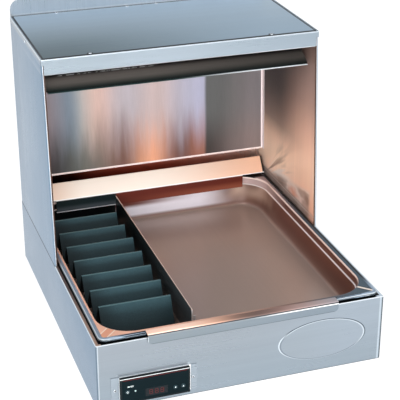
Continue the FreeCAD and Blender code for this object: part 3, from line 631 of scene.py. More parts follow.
def wall_tone(place):
    """Upright soft streaks of painted warm and cool reflections, with brown flame-shaped painted
    reflections at the foot.
    """
    x, _, z = parts_of(place)
    # Painted reflections: warm and cool streaks up high, darker brown ones low down.
    warp = noise(place, 5.0, 1.0)
    t = sweep(calc("MULTIPLY_ADD", warp, 0.012, x), -0.254, 0.266, smooth=False)
    high = shades(t, [(0.0, (140, 122, 124)), (0.1, (146, 128, 130)), (0.17, (128, 140, 154)),
                      (0.205, (112, 128, 142)), (0.245, (176, 176, 174)), (0.31, (224, 182, 166)),
                      (0.38, (184, 176, 182)), (0.46, (178, 172, 180)), (0.55, (206, 180, 172)),
                      (0.64, (176, 174, 188)), (0.74, (176, 178, 202))])
    low = shades(t, [(0.0, (66, 54, 54)), (0.1, (58, 48, 50)), (0.17, (82, 84, 84)),
                     (0.24, (110, 112, 106)), (0.32, (122, 108, 100)), (0.38, (122, 90, 80)),
                     (0.43, (116, 84, 76)), (0.49, (222, 160, 128)), (0.55, (240, 172, 138)),
                     (0.6, (134, 92, 82)), (0.66, (96, 74, 72)), (0.71, (160, 104, 86)),
                     (0.75, (150, 106, 92))])
    far_high = mix(sweep(t, 0.8, 0.98), (94, 96, 96), (126, 120, 122))
    far_low = mix(sweep(t, 0.76, 0.94), (66, 60, 58), (132, 118, 116))
    reflection_flame_noise = noise(stretched(place, (46.0, 46.0, 5.0)), 1.0, 3.0)
    height = calc("MULTIPLY_ADD", reflection_flame_noise, 0.12, z)
    near = mix(sweep(height, 0.245, 0.385), low, high)
    far = mix(sweep(z, 0.19, 0.3), far_low, far_high)
    tone = mix(sweep(t, 0.747, 0.764), near, far)
    # Painted highlights along the foot hem and the side bends.
    tone = mix(sweep(z, 0.1925, 0.1908), tone, (250, 232, 228))
    return mix(sweep(abs(x), 0.2574, 0.258), tone, (255, 240, 240))


def liner_tone(place):
    """Painted warm light and reflections: painted shade going dark brown at the top and rear, peach
    at the foot, with streaks fanning from the pan.
    """
    _, y, z = parts_of(place)
    # Painted warm light low down, darkening to painted shade at the top.
    rear = shades_along(z, 0.13, 0.5, [(0.0, (230, 190, 172)), (0.16, (255, 230, 204)),
                                       (0.3, (255, 212, 184)), (0.4, (134, 112, 102)),
                                       (0.62, (50, 42, 40)), (1.0, (12, 11, 11))])
    front = shades_along(z, 0.13, 0.5, [(0.0, (240, 166, 136)), (0.25, (255, 214, 184)),
                                        (0.45, (250, 196, 170)), (0.65, (178, 144, 130)),
                                        (1.0, (94, 76, 70))])
    tone = mix(sweep(y, 0.2, 0.03), rear, front)
    # Painted light and dark reflection streaks fanning out from the pan.
    back = 0.27 - y
    up = z - 0.128
    angle = calc("ARCTAN2", up, back)
    reach = distance(back, up)
    where = effect("ShaderNodeCombineXYZ", {"X": angle, "Y": reach * 1.2})
    fan = noise(where, 5.0, 2.0)
    near = sweep(reach, 0.22, 0.06) * sweep(angle, 1.0, 0.6)
    tone = mix(near * sweep(fan, 0.5, 0.4), tone, (232, 220, 212))
    tone = mix(near * sweep(fan, 0.49, 0.6) * 0.9, tone, (92, 76, 70))
    # Mottled painted reflections low on the front.
    clouds = shades(noise(stretched(place, (1.0, 13.0, 30.0)), 1.0, 2.0),
                    [(0.32, (88, 74, 68)), (0.46, (150, 132, 124)), (0.58, (216, 198, 188)),
                     (0.7, (200, 132, 108))])
    over = calc("MULTIPLY_ADD", y, 0.18, z - 0.197)
    cloudy = sweep(over, 0.006, -0.008) * sweep(y, 0.012, 0.03, 0.0, 0.75)
    tone = mix(cloudy, tone, clouds)
    # A darker band and a pale line at the foot.
    foot = sweep(z, 0.156, 0.148) * sweep(y, 0.0, 0.1, 0.35, 0.85)
    tone = mix(foot, tone, (128, 112, 106))
    return mix(band(z, 0.147, 0.148, 0.0006), tone, (206, 190, 180))


def pan_tone(place):
    """Painted reflections: slate and peach on the flange, dark red-brown walls with painted
    highlights on the bends, a paler floor, painted shade by the rack.
    """
    x, y, z = parts_of(place)
    depth = y - FRONT_Y
    # Painted reflections on the flange: peach at the left, slate at the right, dark to pale along
    # the rear.
    flange = shades_along(x, -0.26, 0.26, [(0.0, (246, 190, 164)), (0.3, (246, 194, 168)),
                                           (0.52, (196, 158, 142)), (0.72, (112, 96, 94)),
                                           (0.88, (62, 80, 92))])
    rear = mix(sweep(x, -0.1, 0.2), (52, 54, 58), (184, 158, 156))
    flange = mix(sweep(y, 0.0, 0.22), flange, rear)
    # Painted shade and highlight lines of a crease at each front corner of the flange.
    back = depth - 0.0805
    for sign, wide, light, dark in ((1, 0.0042, (240, 226, 214), (24, 36, 46)),
                                    (-1, 0.01, (236, 168, 138), (255, 230, 212))):
        out = x * sign - 0.185
        reach = sweep(out - back, 0.088, 0.092)
        off = abs(out + back)
        flange = mix(reach * sweep(off, wide + 0.003, wide + 0.0018), flange, dark)
        flange = mix(reach * sweep(off, wide, wide - 0.0012), flange, light)
    # Painted dark red-brown reflections on the walls, paler towards the floor.
    bowl = shades_along(z, 0.073, 0.135, [(0.0, (196, 178, 168)), (0.08, (128, 92, 80)),
                                          (0.4, (98, 56, 42)), (0.68, (116, 68, 52)),
                                          (0.8, (104, 58, 44)), (1.0, (96, 52, 40))])
    # Painted reflections low on the rear wall: lavender, the skirt's brown below it, dark left of
    # the divider.
    mirrored = mix(sweep(x, 0.1, 0.2), (240, 234, 242), (150, 122, 114))
    under = sweep(x, 0.12, -0.05) * sweep(z, 0.098, 0.108)
    mirrored = mix(under, mirrored, (116, 62, 50))
    mirrored = mix(sweep(x, -0.0765, -0.0785), mirrored, (12, 18, 20))
    at_rear = sweep(depth, 0.55, 0.558) * sweep(z, 0.078, 0.086)
    bowl = mix(at_rear, bowl, mirrored)
    # Mottled painted reflections in the rear right corner, and a painted line on its shoulder.
    corner = sweep(x, 0.14, 0.2) * sweep(depth, 0.4, 0.55)
    spots = noise(place, 17.0, 1.0)
    mottled_reflection = mix(sweep(spots, 0.34, 0.66), (86, 58, 50), (196, 166, 148))
    bowl = mix(corner * sweep(z, 0.08, 0.104, 0.0, 0.8), bowl, mottled_reflection)
    bowl = mix(corner * sweep(z, 0.1196, 0.1202), bowl, (200, 174, 170))
    # Painted highlight along the shoulder bend; along the opening's bend a painted highlight that
    # turns to painted shade at the front left.
    bowl = mix(band(z, 0.119, 0.1203, 0.0003), bowl, (255, 244, 240))
    edge = mix(sweep(x, -0.16, -0.2) * sweep(depth, 0.1, 0.06), (255, 234, 224), (30, 24, 24))
    bowl = mix(sweep(z, 0.1314, 0.1322), bowl, edge)
    # Painted soft shade on the floor between the rack and the divider.
    strip = band(x, -0.09, -0.08, 0.008) * sweep(z, 0.084, 0.076)
    bowl = mix(strip, bowl, (98, 87, 82))
    tone = mix(sweep(z, 0.136, 0.1363), bowl, flange)
    # Painted shadow on the flange under the ramp's right end.
    shadow = sweep(x, 0.198, 0.206) * sweep(depth, 0.546, 0.553)
    return mix(shadow * sweep(z, 0.1342, 0.135), tone, (16, 14, 14))


def lip_tone(place):
    """Painted peach-to-grey reflection on top, a painted dark reflection along the bend, a painted
    highlight below it, the base's tone on the hanging face.
    """
    x, _, z = parts_of(place)
    face = mix(sweep(x, -0.18, 0.18), (136, 146, 153), (134, 146, 156))
    # Painted highlight at the lip's left end.
    face = mix(sweep(x, -0.1742, -0.1752), face, (206, 214, 220))
    # Painted peach-to-grey reflection on top.
    top = shades_along(x, -0.18, 0.18, [(0.0, (250, 206, 184)), (0.2, (255, 222, 204)),
                                        (0.33, (240, 184, 156)), (0.45, (132, 108, 98)),
                                        (0.6, (98, 80, 76)), (0.76, (176, 142, 132)),
                                        (1.0, (144, 144, 150))])
    # Painted highlight below the bend, white at the right; a darker line along the foot; a painted
    # dark reflection along the bend.
    under = mix(sweep(x, 0.0, 0.1), (140, 148, 154), (255, 255, 255))
    face = mix(sweep(z, 0.1192, 0.1186), face, (92, 102, 110))
    face = mix(sweep(z, 0.1318, 0.1324), face, under)
    face = mix(sweep(z, 0.1338, 0.1344), face, (56, 56, 60))
    return mix(sweep(z, 0.136, 0.1363), face, top)


def lip_metallic(place):
    """Duller on top, where the painted warm reflection shows, and bright steel on the hanging face.
    """
    return sweep(parts_of(place)[2], 0.1345, 0.1326, 0.25, 0.9)


def roll_tone(place):
    """Painted highlight and shade bands round the rolled edge, by the angle stored on the piece,
    with darker painted reflections at the right side.
    """
    x, y, _ = parts_of(place)
    around = parts_of(stored_place(place))[0]
    # Painted highlight and shade bands round the roll; the dark set is used on the right side.
    pale = shades(around, [(0.0, (18, 28, 30)), (0.06, (24, 36, 38)), (0.12, (226, 236, 244)),
                           (0.17, (104, 120, 138)), (0.25, (176, 194, 212)),
                           (0.34, (150, 172, 196)), (0.4, (36, 48, 60)), (0.5, (20, 24, 28)),
                           (0.8, (18, 22, 28)), (1.0, (18, 28, 30))])
    dark = shades(around, [(0.0, (14, 18, 20)), (0.14, (16, 20, 24)), (0.25, (30, 36, 42)),
                           (0.33, (60, 68, 76)), (0.38, (186, 194, 202)), (0.44, (24, 28, 32)),
                           (1.0, (14, 18, 20))])
    right = sweep(x, 0.247, 0.249) * sweep(y, -0.285, -0.235)
    return mix(right, pale, dark)


def ramp_tone(place):
    """Painted light: almost white, peach at both ends, a painted shadow at the right end; the skirt
    painted with dark red reflections and black-green shade behind the rack.
    """
    x, _, z = parts_of(place)
    # Painted near-white and peach light on the face.
    face = mix(sweep(x, -0.02, 0.26), (245, 231, 218), (236, 188, 159))
    face = mix(sweep(x, -0.14, -0.25), face, (246, 209, 184))
    # Painted shadow at the right end and a painted highlight along the toe bend.
    face = mix(sweep(x, 0.2512, 0.2517), face, (14, 12, 12))
    face = mix(sweep(z, 0.1452, 0.1446), face, (255, 252, 250))
    # The skirt's painted dark red reflections.
    skirt = mix(sweep(x, -0.1, 0.2), (96, 38, 28), (128, 68, 50))
    skirt = mix(sweep(z, 0.119, 0.134), skirt, (90, 34, 24))
    # Painted black-green shade behind the rack, with a painted highlight along the lower edge.
    dark = mix(sweep(z, 0.12, 0.132), (58, 64, 68), (18, 28, 30))
    dark = mix(sweep(z, 0.1185, 0.1178), dark, (206, 206, 210))
    skirt = mix(sweep(x, -0.0765, -0.0785), skirt, dark)
    return mix(sweep(z, 0.1415, 0.144), skirt, face)


def reflector_tone(place):
    """Painted shading of the arch: green-black at the lip, brown-grey up the arch, a broken painted
    highlight line, and painted shade above it.
    """
    x, _, z = parts_of(place)
    # Painted shading up the arch.
    arch = shades_along(z, 0.457, 0.477, [(0.0, (10, 22, 22)), (0.22, (18, 30, 29)),
                                          (0.5, (108, 103, 98)), (0.8, (148, 140, 134)),
                                          (0.93, (60, 56, 54)), (1.0, (10, 10, 10))])
    # Painted darker towards the right.
    arch = scale_colour(arch, sweep(x, -0.1, 0.2, 1.0, 0.62))
    # A broken painted highlight line near the top.
    broken = noise(place, 130.0, 3.0)
    line = band(z, 0.4753, 0.476, 0.0002) * sweep(broken, 0.42, 0.52)
    return mix(line * band(x, -0.225, -0.045, 0.006), arch, (236, 238, 236))


def bead_tone(place):
    """Green-black at the left, pale grey where the right half catches the light."""
    x, _, _ = parts_of(place)
    return mix(sweep(x, -0.02, 0.16), (30, 52, 52), (204, 210, 214))


def divider_tone(place):
    """Dark, paler at the front, with painted highlights along the upper edge and on the front end.
    """
    _, y, z = parts_of(place)
    body = mix(sweep(y, -0.26, 0.1), (78, 84, 88), (22, 32, 35))
    # Painted highlights on the front end and along the upper edge.
    body = mix(sweep(y, -0.2528, -0.2534), body, (226, 222, 220))
    return mix(sweep(z, 0.1374, 0.138), body, (255, 232, 218))


def rack_tone(place):
    """Dark coated sheet, paler where its folds catch the light."""
    x, _, z = parts_of(place)
    body = mix(sweep(z, 0.075, 0.122), (20, 37, 41), (41, 64, 70))
    body = mix(sweep(x, -0.18, -0.23), body, (22, 38, 42))
    return mix(sweep(z, 0.1236, 0.125), body, (66, 90, 94))


def control_outline(place, half_width, half_height):
    """How far a point stands past the sides and past the ends of a rectangle on the control."""
    x, _, z = parts_of(place)
    u = abs(x - CONTROL_X * MM) - half_width
    v = abs(z - CONTROL_Z * MM) - half_height
    return u, v


def bezel_tone(place):
    """Near-black, with painted highlight lines along the head's front edge and along its left and
    upper foot.
    """
    x, y, z = parts_of(place)
    depth = y - FRONT_Y
    up = z - CONTROL_Z * MM
    u, _ = control_outline(place, 0.061, 0.024)
    front = sweep(depth, -0.0066, -0.007)
    # Painted highlight lines on the head's front edge, its left side and its upper foot.
    top = band(up, 0.0233, 0.0245, 0.0002) * front
    left = (sweep(u, 0.0016, 0.0019) * sweep(x, CONTROL_X * MM, -0.18)
            * sweep(depth, -0.0046, -0.0038))
    foot = sweep(up, 0.025, 0.0254) * sweep(depth, -0.0024, -0.0018)
    return mix(highest(top * 0.7, left, foot), (10, 18, 21), (232, 235, 235))


def plate_tone(place):
    """Plain steel with a painted highlight line right of the bezel, where its foot stands on the
    plate.
    """
    out = highest(*control_outline(place, CONTROL_HALF_WIDTH * MM, CONTROL_HALF_HEIGHT * MM))
    wide = sweep(parts_of(place)[0], CONTROL_X * MM, CONTROL_X * MM + 0.01)
    # Painted highlight line round the bezel's foot.
    line = sweep(out, -0.0008, -0.0002) * sweep(out, 0.0032, 0.0026)
    return mix(line * wide, (141, 151, 160), (255, 255, 255))


def overlay_tone(place):
    """Dark blue-green film with a thin dull red line along its top."""
    u, v = control_outline(place, 0.0585, 0.0205)
    above = sweep(parts_of(place)[2], CONTROL_Z * MM, CONTROL_Z * MM + 0.001)
    line = band(v, 0.0, 0.0007, 0.0002) * above * sweep(u, 0.0, -0.0006)
    return mix(line, (6, 19, 23), (96, 28, 28))


def oval_tone(place):
    """The front's tone with the rim's painted shadow line above and its painted highlight line
    below.
    """
    x, _, z = parts_of(place)
    dx = x - OVAL_X * MM
    dz = z - OVAL_Z * MM
    e = distance(dx * (1000 / OVAL_HALF_WIDTH), dz * (1000 / OVAL_HALF_HEIGHT))
    up = sweep(calc("MULTIPLY_ADD", dx, 0.28, dz), -0.01, 0.01)
    plain = mix(sweep(dx, -0.08, 0.08), (154, 164, 173), (158, 169, 180))
    # Painted shadow and highlight lines of the rim: dark outside and light inside above, light
    # outside and grey inside below.
    outer = mix(up, (214, 224, 232), (84, 94, 102))
    inner = mix(up, (128, 138, 148), (206, 216, 224))
    tone = mix(band(e, 0.936, 0.962, 0.006), plain, inner)
    return mix(sweep(e, 0.966, 0.976), tone, outer)


FRONT_STEEL = brushed_metal("front_brushed_steel", wrapper_tone, ALONG_X, contrast=0.03)
SIDE_STEEL = brushed_metal("side_brushed_steel", side_tone, UPRIGHT, contrast=0.03)
HEADER_STEEL = brushed_metal("header_brushed_steel", header_tone, ALONG_X, contrast=0.03)
ROOF_STEEL = brushed_metal("roof_brushed_steel", roof_tone, ALONG_X, roughness=0.34, contrast=0.03)
BACK_STEEL = brushed_metal("back_brushed_steel", back_tone, UPRIGHT, contrast=0.04)
PLATE_STEEL = brushed_metal("control_plate_steel", plate_tone, ALONG_X, metallic=0.6, contrast=0.03)
OVAL_STEEL = brushed_metal("oval_brushed_steel", oval_tone, ALONG_X, contrast=0.03)
WALL_STEEL = brushed_metal("back_wall_steel", wall_tone, UPRIGHT, metallic=0.2, roughness=0.36,
                           contrast=0.07)
LINER_STEEL = brushed_metal("side_liner_steel", liner_tone, UPRIGHT, metallic=0.05, roughness=0.36,
                            contrast=0.05)
CEILING_STEEL = brushed_metal("ceiling_steel", (120, 108, 102), ALONG_X, metallic=0.7)
PAN_STEEL = brushed_metal("pan_polished_steel", pan_tone, (150.0, 1.5, 150.0), metallic=0.35,
                          roughness=0.28, contrast=0.02, relief=0.000004, play=0.002)
LIP_STEEL = brushed_metal("grip_lip_steel", lip_tone, ALONG_X, metallic=lip_metallic,
                          roughness=0.32, contrast=0.03)
ROLL_STEEL = brushed_metal("rolled_edge_steel", roll_tone, (60.0, 60.0, 60.0), metallic=0.7,
                           roughness=0.3, contrast=0.02, relief=0.00001)
RAMP_STEEL = brushed_metal("ramp_steel", ramp_tone, ALONG_X, metallic=0.1, roughness=0.36,
                           contrast=0.02)
DIVIDER_STEEL = brushed_metal("divider_steel", divider_tone, ALONG_Y, metallic=0.6, roughness=0.3)
REFLECTOR = brushed_metal("reflector_aluminium", reflector_tone, ALONG_X, metallic=0.3,
                          roughness=0.36)
LIP_BEAD = brushed_metal("reflector_bead_aluminium", bead_tone, ALONG_X, metallic=0.5,
                         roughness=0.32)
HIDDEN_STEEL = brushed_metal("galvanised_steel", (150, 156, 162), ALONG_X, metallic=0.85,
                             roughness=0.42)
PLATE_ALUMINIUM = brushed_metal("heat_plate_aluminium", (190, 192, 194), ALONG_X, metallic=0.9)
SHEATH = brushed_metal("heater_sheath", (116, 84, 70), ALONG_X, metallic=0.7, roughness=0.5)
SCREW_STEEL = brushed_metal("screw_steel", (214, 222, 230), (400.0, 400.0, 400.0), roughness=0.22)
RACK_COATING = moulded("rack_coating", rack_tone, roughness=0.42, grain=500.0, specular=0.25)
BEZEL_PLASTIC = moulded("bezel_plastic", bezel_tone, roughness=0.34, specular=0.2)
OVERLAY_FILM = moulded("overlay_film", overlay_tone, roughness=0.36, specular=0.07)
READOUT_LENS = moulded("readout_lens", (16, 22, 26), roughness=0.12, specular=0.2)
BUTTON_PLASTIC = moulded("button_plastic", (22, 42, 48), roughness=0.36, specular=0.25)
PRINT_INK = moulded("print_ink", (214, 222, 222), roughness=0.5, specular=0.2)
SEGMENT_RED = moulded("unlit_segment_red", (78, 24, 22), roughness=0.4, specular=0.2)
LAMP_LENS = moulded("lamp_lens", (150, 170, 170), roughness=0.2, coat=0.4)
CERAMIC = moulded("ceramic", (226, 222, 212), roughness=0.5)
BOARD = moulded("board_laminate", (30, 84, 58), roughness=0.45)
TERMINAL = moulded("terminal_plastic", (212, 206, 186), roughness=0.5)
SLEEVE = moulded("wire_sleeve", (196, 60, 44), roughness=0.55)
GLAND = moulded("gland_plastic", (30, 32, 34), roughness=0.5)
SILICONE = moulded("blanket_silicone", (190, 92, 52), roughness=0.6)
WOOL = moulded("insulation_wool", (226, 214, 170), roughness=0.9, grain=300.0, relief=0.0004)
SCREW_HEAD = screw_finish()

NODES_OF_FINISH = (
    (FRONT_STEEL, "base_wrapper"), (BACK_STEEL, "base_back_panel back_panel"),
    (HIDDEN_STEEL, "base_bottom_panel rear_ledge well_frame insulation_tray"),
    (PLATE_ALUMINIUM, "heat_plate"), (SILICONE, "blanket_element"), (WOOL, "insulation_pad"),
    (SIDE_STEEL, "right_side_panel left_side_panel"), (LINER_STEEL, "right_liner left_liner"),
    (HEADER_STEEL, "side_cap_rails header_strip"), (WALL_STEEL, "inner_back_wall"),
    (CEILING_STEEL, "ceiling_liner"), (ROOF_STEEL, "top_panel"),
    (REFLECTOR, "heater_reflector reflector_end_plates"), (SHEATH, "heater_rod"),
    (CERAMIC, "rod_insulators"), (PAN_STEEL, "pan"), (RAMP_STEEL, "rear_ramp"),
    (DIVIDER_STEEL, "divider"), (RACK_COATING, "bag_rack"), (BEZEL_PLASTIC, "control_bezel"),
    (PLATE_STEEL, "control_plate"), (OVERLAY_FILM, "control_overlay"),
    (READOUT_LENS, "readout_window"), (BOARD, "control_board power_board"),
    (LAMP_LENS, "indicator_lamp"), (BUTTON_PLASTIC, "power_button down_button up_button"),
    (SCREW_STEEL, "board_standoffs limit_thermostat temperature_sensor roof_screws cap_screws "
                  "control_screws back_screws"),
    (TERMINAL, "terminal_block"), (GLAND, "cord_gland"), (SLEEVE, "base_wires heater_leads"),
)
for finish, names in NODES_OF_FINISH:
    for node_name in names.split():
        nodes[node_name].data.materials.clear()
        nodes[node_name].data.materials.append(finish)


# Base

def wrapper_path(inset, corner, front_marks):
    """The base's plan line from the left rear round the front to the right rear, for each inset.

    A side runs straight to its corner, a corner is a quarter circle whose radius shrinks with the
    inset and whose centre moves in once the inset passes the corner's radius, and the front runs
    straight between the two corners. The right half mirrors the left.
    """
    t = np.asarray(inset, float)[None]
    reach = np.maximum(corner, t)
    radius = np.maximum(corner - t, 0)
    back = DEPTH - SHEET
    u = upright([0, 0.5, 1])
    a = upright(np.linspace(0, np.pi / 2, 7)[1:-1])
    mark = upright(front_marks)
    side_y = back + (reach - back) * u
    side_x = (HALF - t) + 0 * u
    corner_x = HALF - reach + radius * np.cos(a)
    corner_y = reach - radius * np.sin(a)
    front_x = -(HALF - reach) * (1 - 2 * mark)
    front_y = t + 0 * mark
    left = np.concatenate([np.stack([-side_x, side_y], -1), np.stack([-corner_x, corner_y], -1)])
    front = np.stack([front_x, front_y], -1)
    return np.concatenate([left, front, left[::-1] * (-1, 1)])


def make_base_wrapper():
    """The bent sheet of the base: a profile with two ledges carried along the plan line."""
    ledge, corner = 15, 3.0
    cut_half_width, cut_half_height = 61.3, 23.8
    profile = bent([(ledge, 0), (0, 0), (0, CONTROL_Z - cut_half_height),
                    (0, CONTROL_Z + cut_half_height), (0, BASE_TOP), (ledge, BASE_TOP)],
                   [0, 1.6, 0, 0, 1.6, 0], steps=5)
    marks = [0.0] + [((CONTROL_X + side * cut_half_width) / (HALF - corner) + 1) / 2
                     for side in (-1, 1)] + [1.0]
    plan = wrapper_path(profile[:, 0], corner, marks)
    grid = grid_of(plan[..., 0], plan[..., 1], profile[:, 1])
    cell_x, cell_y, cell_z = ((grid[:-1, :-1] + grid[1:, 1:]) / 2).transpose(2, 0, 1)
    in_width = abs(cell_x - CONTROL_X) < cut_half_width
    in_height = abs(cell_z - CONTROL_Z) < cut_half_height
    keep = ~(in_width & in_height & (cell_y < 2))
    piece("base_wrapper_sheet", [patch(grid, keep=keep)], FRONT_STEEL, "housing",
          ["base_wrapper"], thickness=SHEET, bevel=0.2)


def make_oval():
    """A plain raised oval: ellipses shrinking by a step, each forward by a smooth share."""
    step = upright([0, 0.3, 0.7, 1.1, 1.5, 1.9, 2.4, 6.0, 20.0])
    share = np.clip(step / 2.0, 0, 1)
    a = np.linspace(0, 2 * np.pi, 96, endpoint=False)
    rows = grid_of(OVAL_X + (OVAL_HALF_WIDTH - step) * np.cos(a),
                   0.12 - 0.9 * share * share * (3 - 2 * share),
                   OVAL_Z + (OVAL_HALF_HEIGHT - step) * np.sin(a))
    back = rows[:1] + np.array([0, 0.5, 0])
    piece("front_oval", solid(np.concatenate([back, rows])), OVAL_STEEL, "housing",
          ["base_wrapper"], closed=True, sharp=50)


# Hood

def lean(z):
    """The y of the hood's front edge at a height, which leans back by 26 up to the header."""
    return 302.0 + 26.0 * (z - BASE_TOP) / (HEADER_FOOT - BASE_TOP)


def make_side_panel(side, name, node):
    """An upper side panel: a plan line with a rear flange, a long run and a front hem.

    There is one line per height. Above the hood's front edge the run starts behind the header,
    and above the header's shoulder the hem closes on the run.
    """
    outside, hem_edge, flange_edge = 265.1, 260.5, 243.9
    back, behind_header, hem_reach = DEPTH - SHEET - 0.2, 329.5, 2.5

    def row(front, z):
        """The plan line at one height, its run starting at a front y."""
        line = bent([(flange_edge, back), (outside, back), (outside, front), (hem_edge, front)],
                    [0, 1.5, 1.4, 0], steps=5)
        return np.column_stack([line, np.full(len(line), z)])
    rows = [row(lean(z), z) for z in (130.2, 220.0, 310.0, 400.0, 497.2)]
    rows += [row(behind_header, z) for z in (497.6, 515.4)]
    closed = rows[-1].copy()
    closed[closed[:, 1] < behind_header + hem_reach, :2] = outside, behind_header
    grid = np.stack(rows + [closed, closed])
    grid[-2:, :, 2] = upright([515.6, 524.2])
    grid[..., 0] *= side
    piece(name, [patch(grid, flip=side > 0)], SIDE_STEEL, "housing", [node],
          thickness=SHEET, bevel=0.2)


def make_header():
    """The header strip: a foot, and a face with a round lower bend, wider above the shoulder."""
    face, rear, shoulder = 328, 342, 516
    section = bent([(rear, HEADER_FOOT), (face, HEADER_FOOT), (face, shoulder), (face, ROOF)],
                   [0, 1.5, 0, 0])
    grid = along_x(section, [-HALF, -262.0, 262.0, HALF])
    foot = grid[..., 1] > face + 1.6
    grid[foot, 0] = np.clip(grid[foot, 0], -260.3, 260.3)
    keep = np.ones((3, len(section) - 1), bool)
    keep[0] = keep[-1] = (section[:-1, 1] + section[1:, 1]) / 2 > shoulder
    shelf = along_x([(face + 1.4, 525.6), (rear, 525.6)], [-250.3, 250.3])
    piece("header_strip_sheet", [patch(grid, keep=keep, flip=True)], HEADER_STEEL, "housing",
          ["header_strip"], thickness=SHEET, bevel=0.25)
    piece("header_shelf", [patch(shelf)], HIDDEN_STEEL, "housing", ["header_strip"],
          thickness=SHEET, bevel=0.2)


def wall_y(z):
    """The front face of the inner back wall at a height, which leans back by 14 in 320."""
    return 586.0 + 14.0 * (z - 188.0) / 320.0


def make_back_wall():
    """The inner back wall: a plan line with a flange at each side, leaning back, and a foot hem."""
    plan = bent([(-260.3, -12), (-260.3, 0), (260.3, 0), (260.3, -12)], [0, 2.0, 2.0, 0], steps=7)
    z = np.linspace(189.5, 508.0, 12)
    grid = grid_of(plan[:, 0], plan[:, 1] + upright(wall_y(z)), upright(z))
    hem = bent([(592, 188), (586, 188), (wall_y(189.5), 189.5)], [0, 1.0, 0])
    hem = along_x(hem, [-258.3, 258.3])
    piece("inner_back_wall_sheet", [patch(grid, flip=True), patch(hem, flip=True)], WALL_STEEL,
          "housing", ["inner_back_wall"], thickness=0.8, bevel=0.15)


def make_reflector():
    """The heater's arch, with a bead rolled along each lip: part of a circle carried along x."""
    middle, lip, half_span, rise, bead, end = 405.0, 457.0, 60.0, 22.0, 1.3, 253
    radius = (half_span ** 2 + rise ** 2) / (2 * rise)
    reach = math.asin(half_span / radius)
    a = np.linspace(-reach, reach, 33)
    section = np.stack([middle + radius * np.sin(a), lip + rise - radius + radius * np.cos(a)], -1)
    xs = [-end, 0, end]
    piece("heater_reflector_arch", [patch(along_x(section, xs))], REFLECTOR, "housing",
          ["heater_reflector"], thickness=0.9, bevel=0.15)
    turn = np.linspace(0, 2 * np.pi, 14, endpoint=False)
    parts = []
    for y in (middle - half_span, middle + half_span):
        circle = np.stack([y + bead * np.cos(turn), lip + bead * np.sin(turn)], -1)
        parts += solid(along_x(circle, [-end, end]))
    piece("reflector_lip_beads", parts, LIP_BEAD, "housing",
          ["heater_reflector"], closed=True)


# Pan

def make_pan():
    """The pan: round rectangles carried down a bent wall profile, a grip lip, a rolled edge."""
    profile = bent([(-6.5, FLANGE), (0, FLANGE), (1.5, 120), (5.5, 118), (12.4, PAN_FLOOR),
                    (60, PAN_FLOOR)], [0, 1.2, 1.0, 1.2, 9.0, 0])
    inset, z = profile[:, 0], profile[:, 1]
    radius = np.where(inset < -6, 5.0, 63.0 - inset)
    lip_half, flange_half = 176.0, 249.5
    mark = (flange_half - lip_half) / (2 * flange_half)
    loops = at_height(rings(-248 + inset, 248 - inset, 17.5 + inset, 572 - inset, radius, arc=14,
                            marks=[mark, 1 - mark]), z)
    parts = [patch(loops, wrap_v=True), cover(loops[-1])]
    piece("pan_bowl", parts, PAN_STEEL, "pan", ["pan"], thickness=0.9, bevel=0.15)

    hang, round_off, low = -2.4, 8, 118
    line = bent([(12.6, FLANGE + 0.02), (hang, FLANGE + 0.02), (hang, low)], [0, 2.5, 0], steps=7)
    foot = [(hang, z) for z in np.linspace(low + round_off, low, 9)]
    y, z = np.concatenate([line[:-1], foot]).T
    drop = np.clip(low + round_off - z, 0, round_off)
    half_width = lip_half - (round_off - np.sqrt(np.maximum(round_off ** 2 - drop ** 2, 0)))
    piece("pan_grip_lip", [patch(grid_of(upright([-1, 1]) * half_width, y, z))], LIP_STEEL, "pan",
          ["pan"], thickness=1.0, bevel=0.2)

    side, front, back, sides, half_height = 253.8, 9.4, 578.2, 24, 3.9
    path = bent([(lip_half, front), (side, front), (side, back), (-side, back), (-side, front),
                 (-lip_half, front)], 8.0, steps=9)
    path = np.column_stack([path, np.full(len(path), RIM - half_height)])
    around = np.linspace(0, 1, sides, endpoint=False)
    run = upright(np.linspace(0, 1, len(path)))
    uv = np.stack(np.broadcast_arrays(around, run), -1).reshape(-1, 2)
    ends = np.repeat([[0.75, 0.0], [0.75, 1.0]], sides, axis=0)
    piece("pan_rolled_edge", solid(tube(path, 4.8, half_height, sides)), ROLL_STEEL, "pan",
          ["pan"], closed=True, uv=np.concatenate([uv, ends]))


def make_ramp():
    """The rear ramp: a folded line along x, with the skirt only between the pan's corners."""
    back, skirt, skirt_half, back_cells = 578.9, 557.0, 205, 6
    line = bent([(back, 138.4), (back, 176), (skirt, 144.0), (skirt, 116)], [0, 1.4, 1.4, 0])
    keep = np.ones((3, len(line) - 1), bool)
    keep[0] = keep[-1] = (line[:-1, 1] + line[1:, 1]) / 2 > 143.4
    keep[:, :back_cells] = True
    sheet = along_x(line, [-254.5, -skirt_half, skirt_half, 254.5])
    piece("rear_ramp_sheet", [patch(sheet, keep=keep)], RAMP_STEEL, "rear_ramp",
          ["rear_ramp"], thickness=1.0, bevel=0.2)


def make_divider():
    """The divider: an upright line with a bent foot along y, and a small tab at each end."""
    front, back, thickness = 52, 551, 1.5
    x, z = bent([(-78.25, 139.0), (-78.25, 73.3), (-63.5, 73.3)], [0, 2.2, 0]).T
    grid = grid_of(x, upright(np.linspace(front, back, 3)), z)
    piece("divider_sheet", [patch(grid, flip=True)], DIVIDER_STEEL, "divider",
          ["divider"], thickness=thickness, bevel=0.35)
    tabs = [part for y in (front, back - thickness)
            for part in block(-76.9, -72.5, y, y + thickness, 74.6, 125)]
    piece("divider_tabs", tabs, DIVIDER_STEEL, "divider", ["divider"], closed=True,
          bevel=0.3)


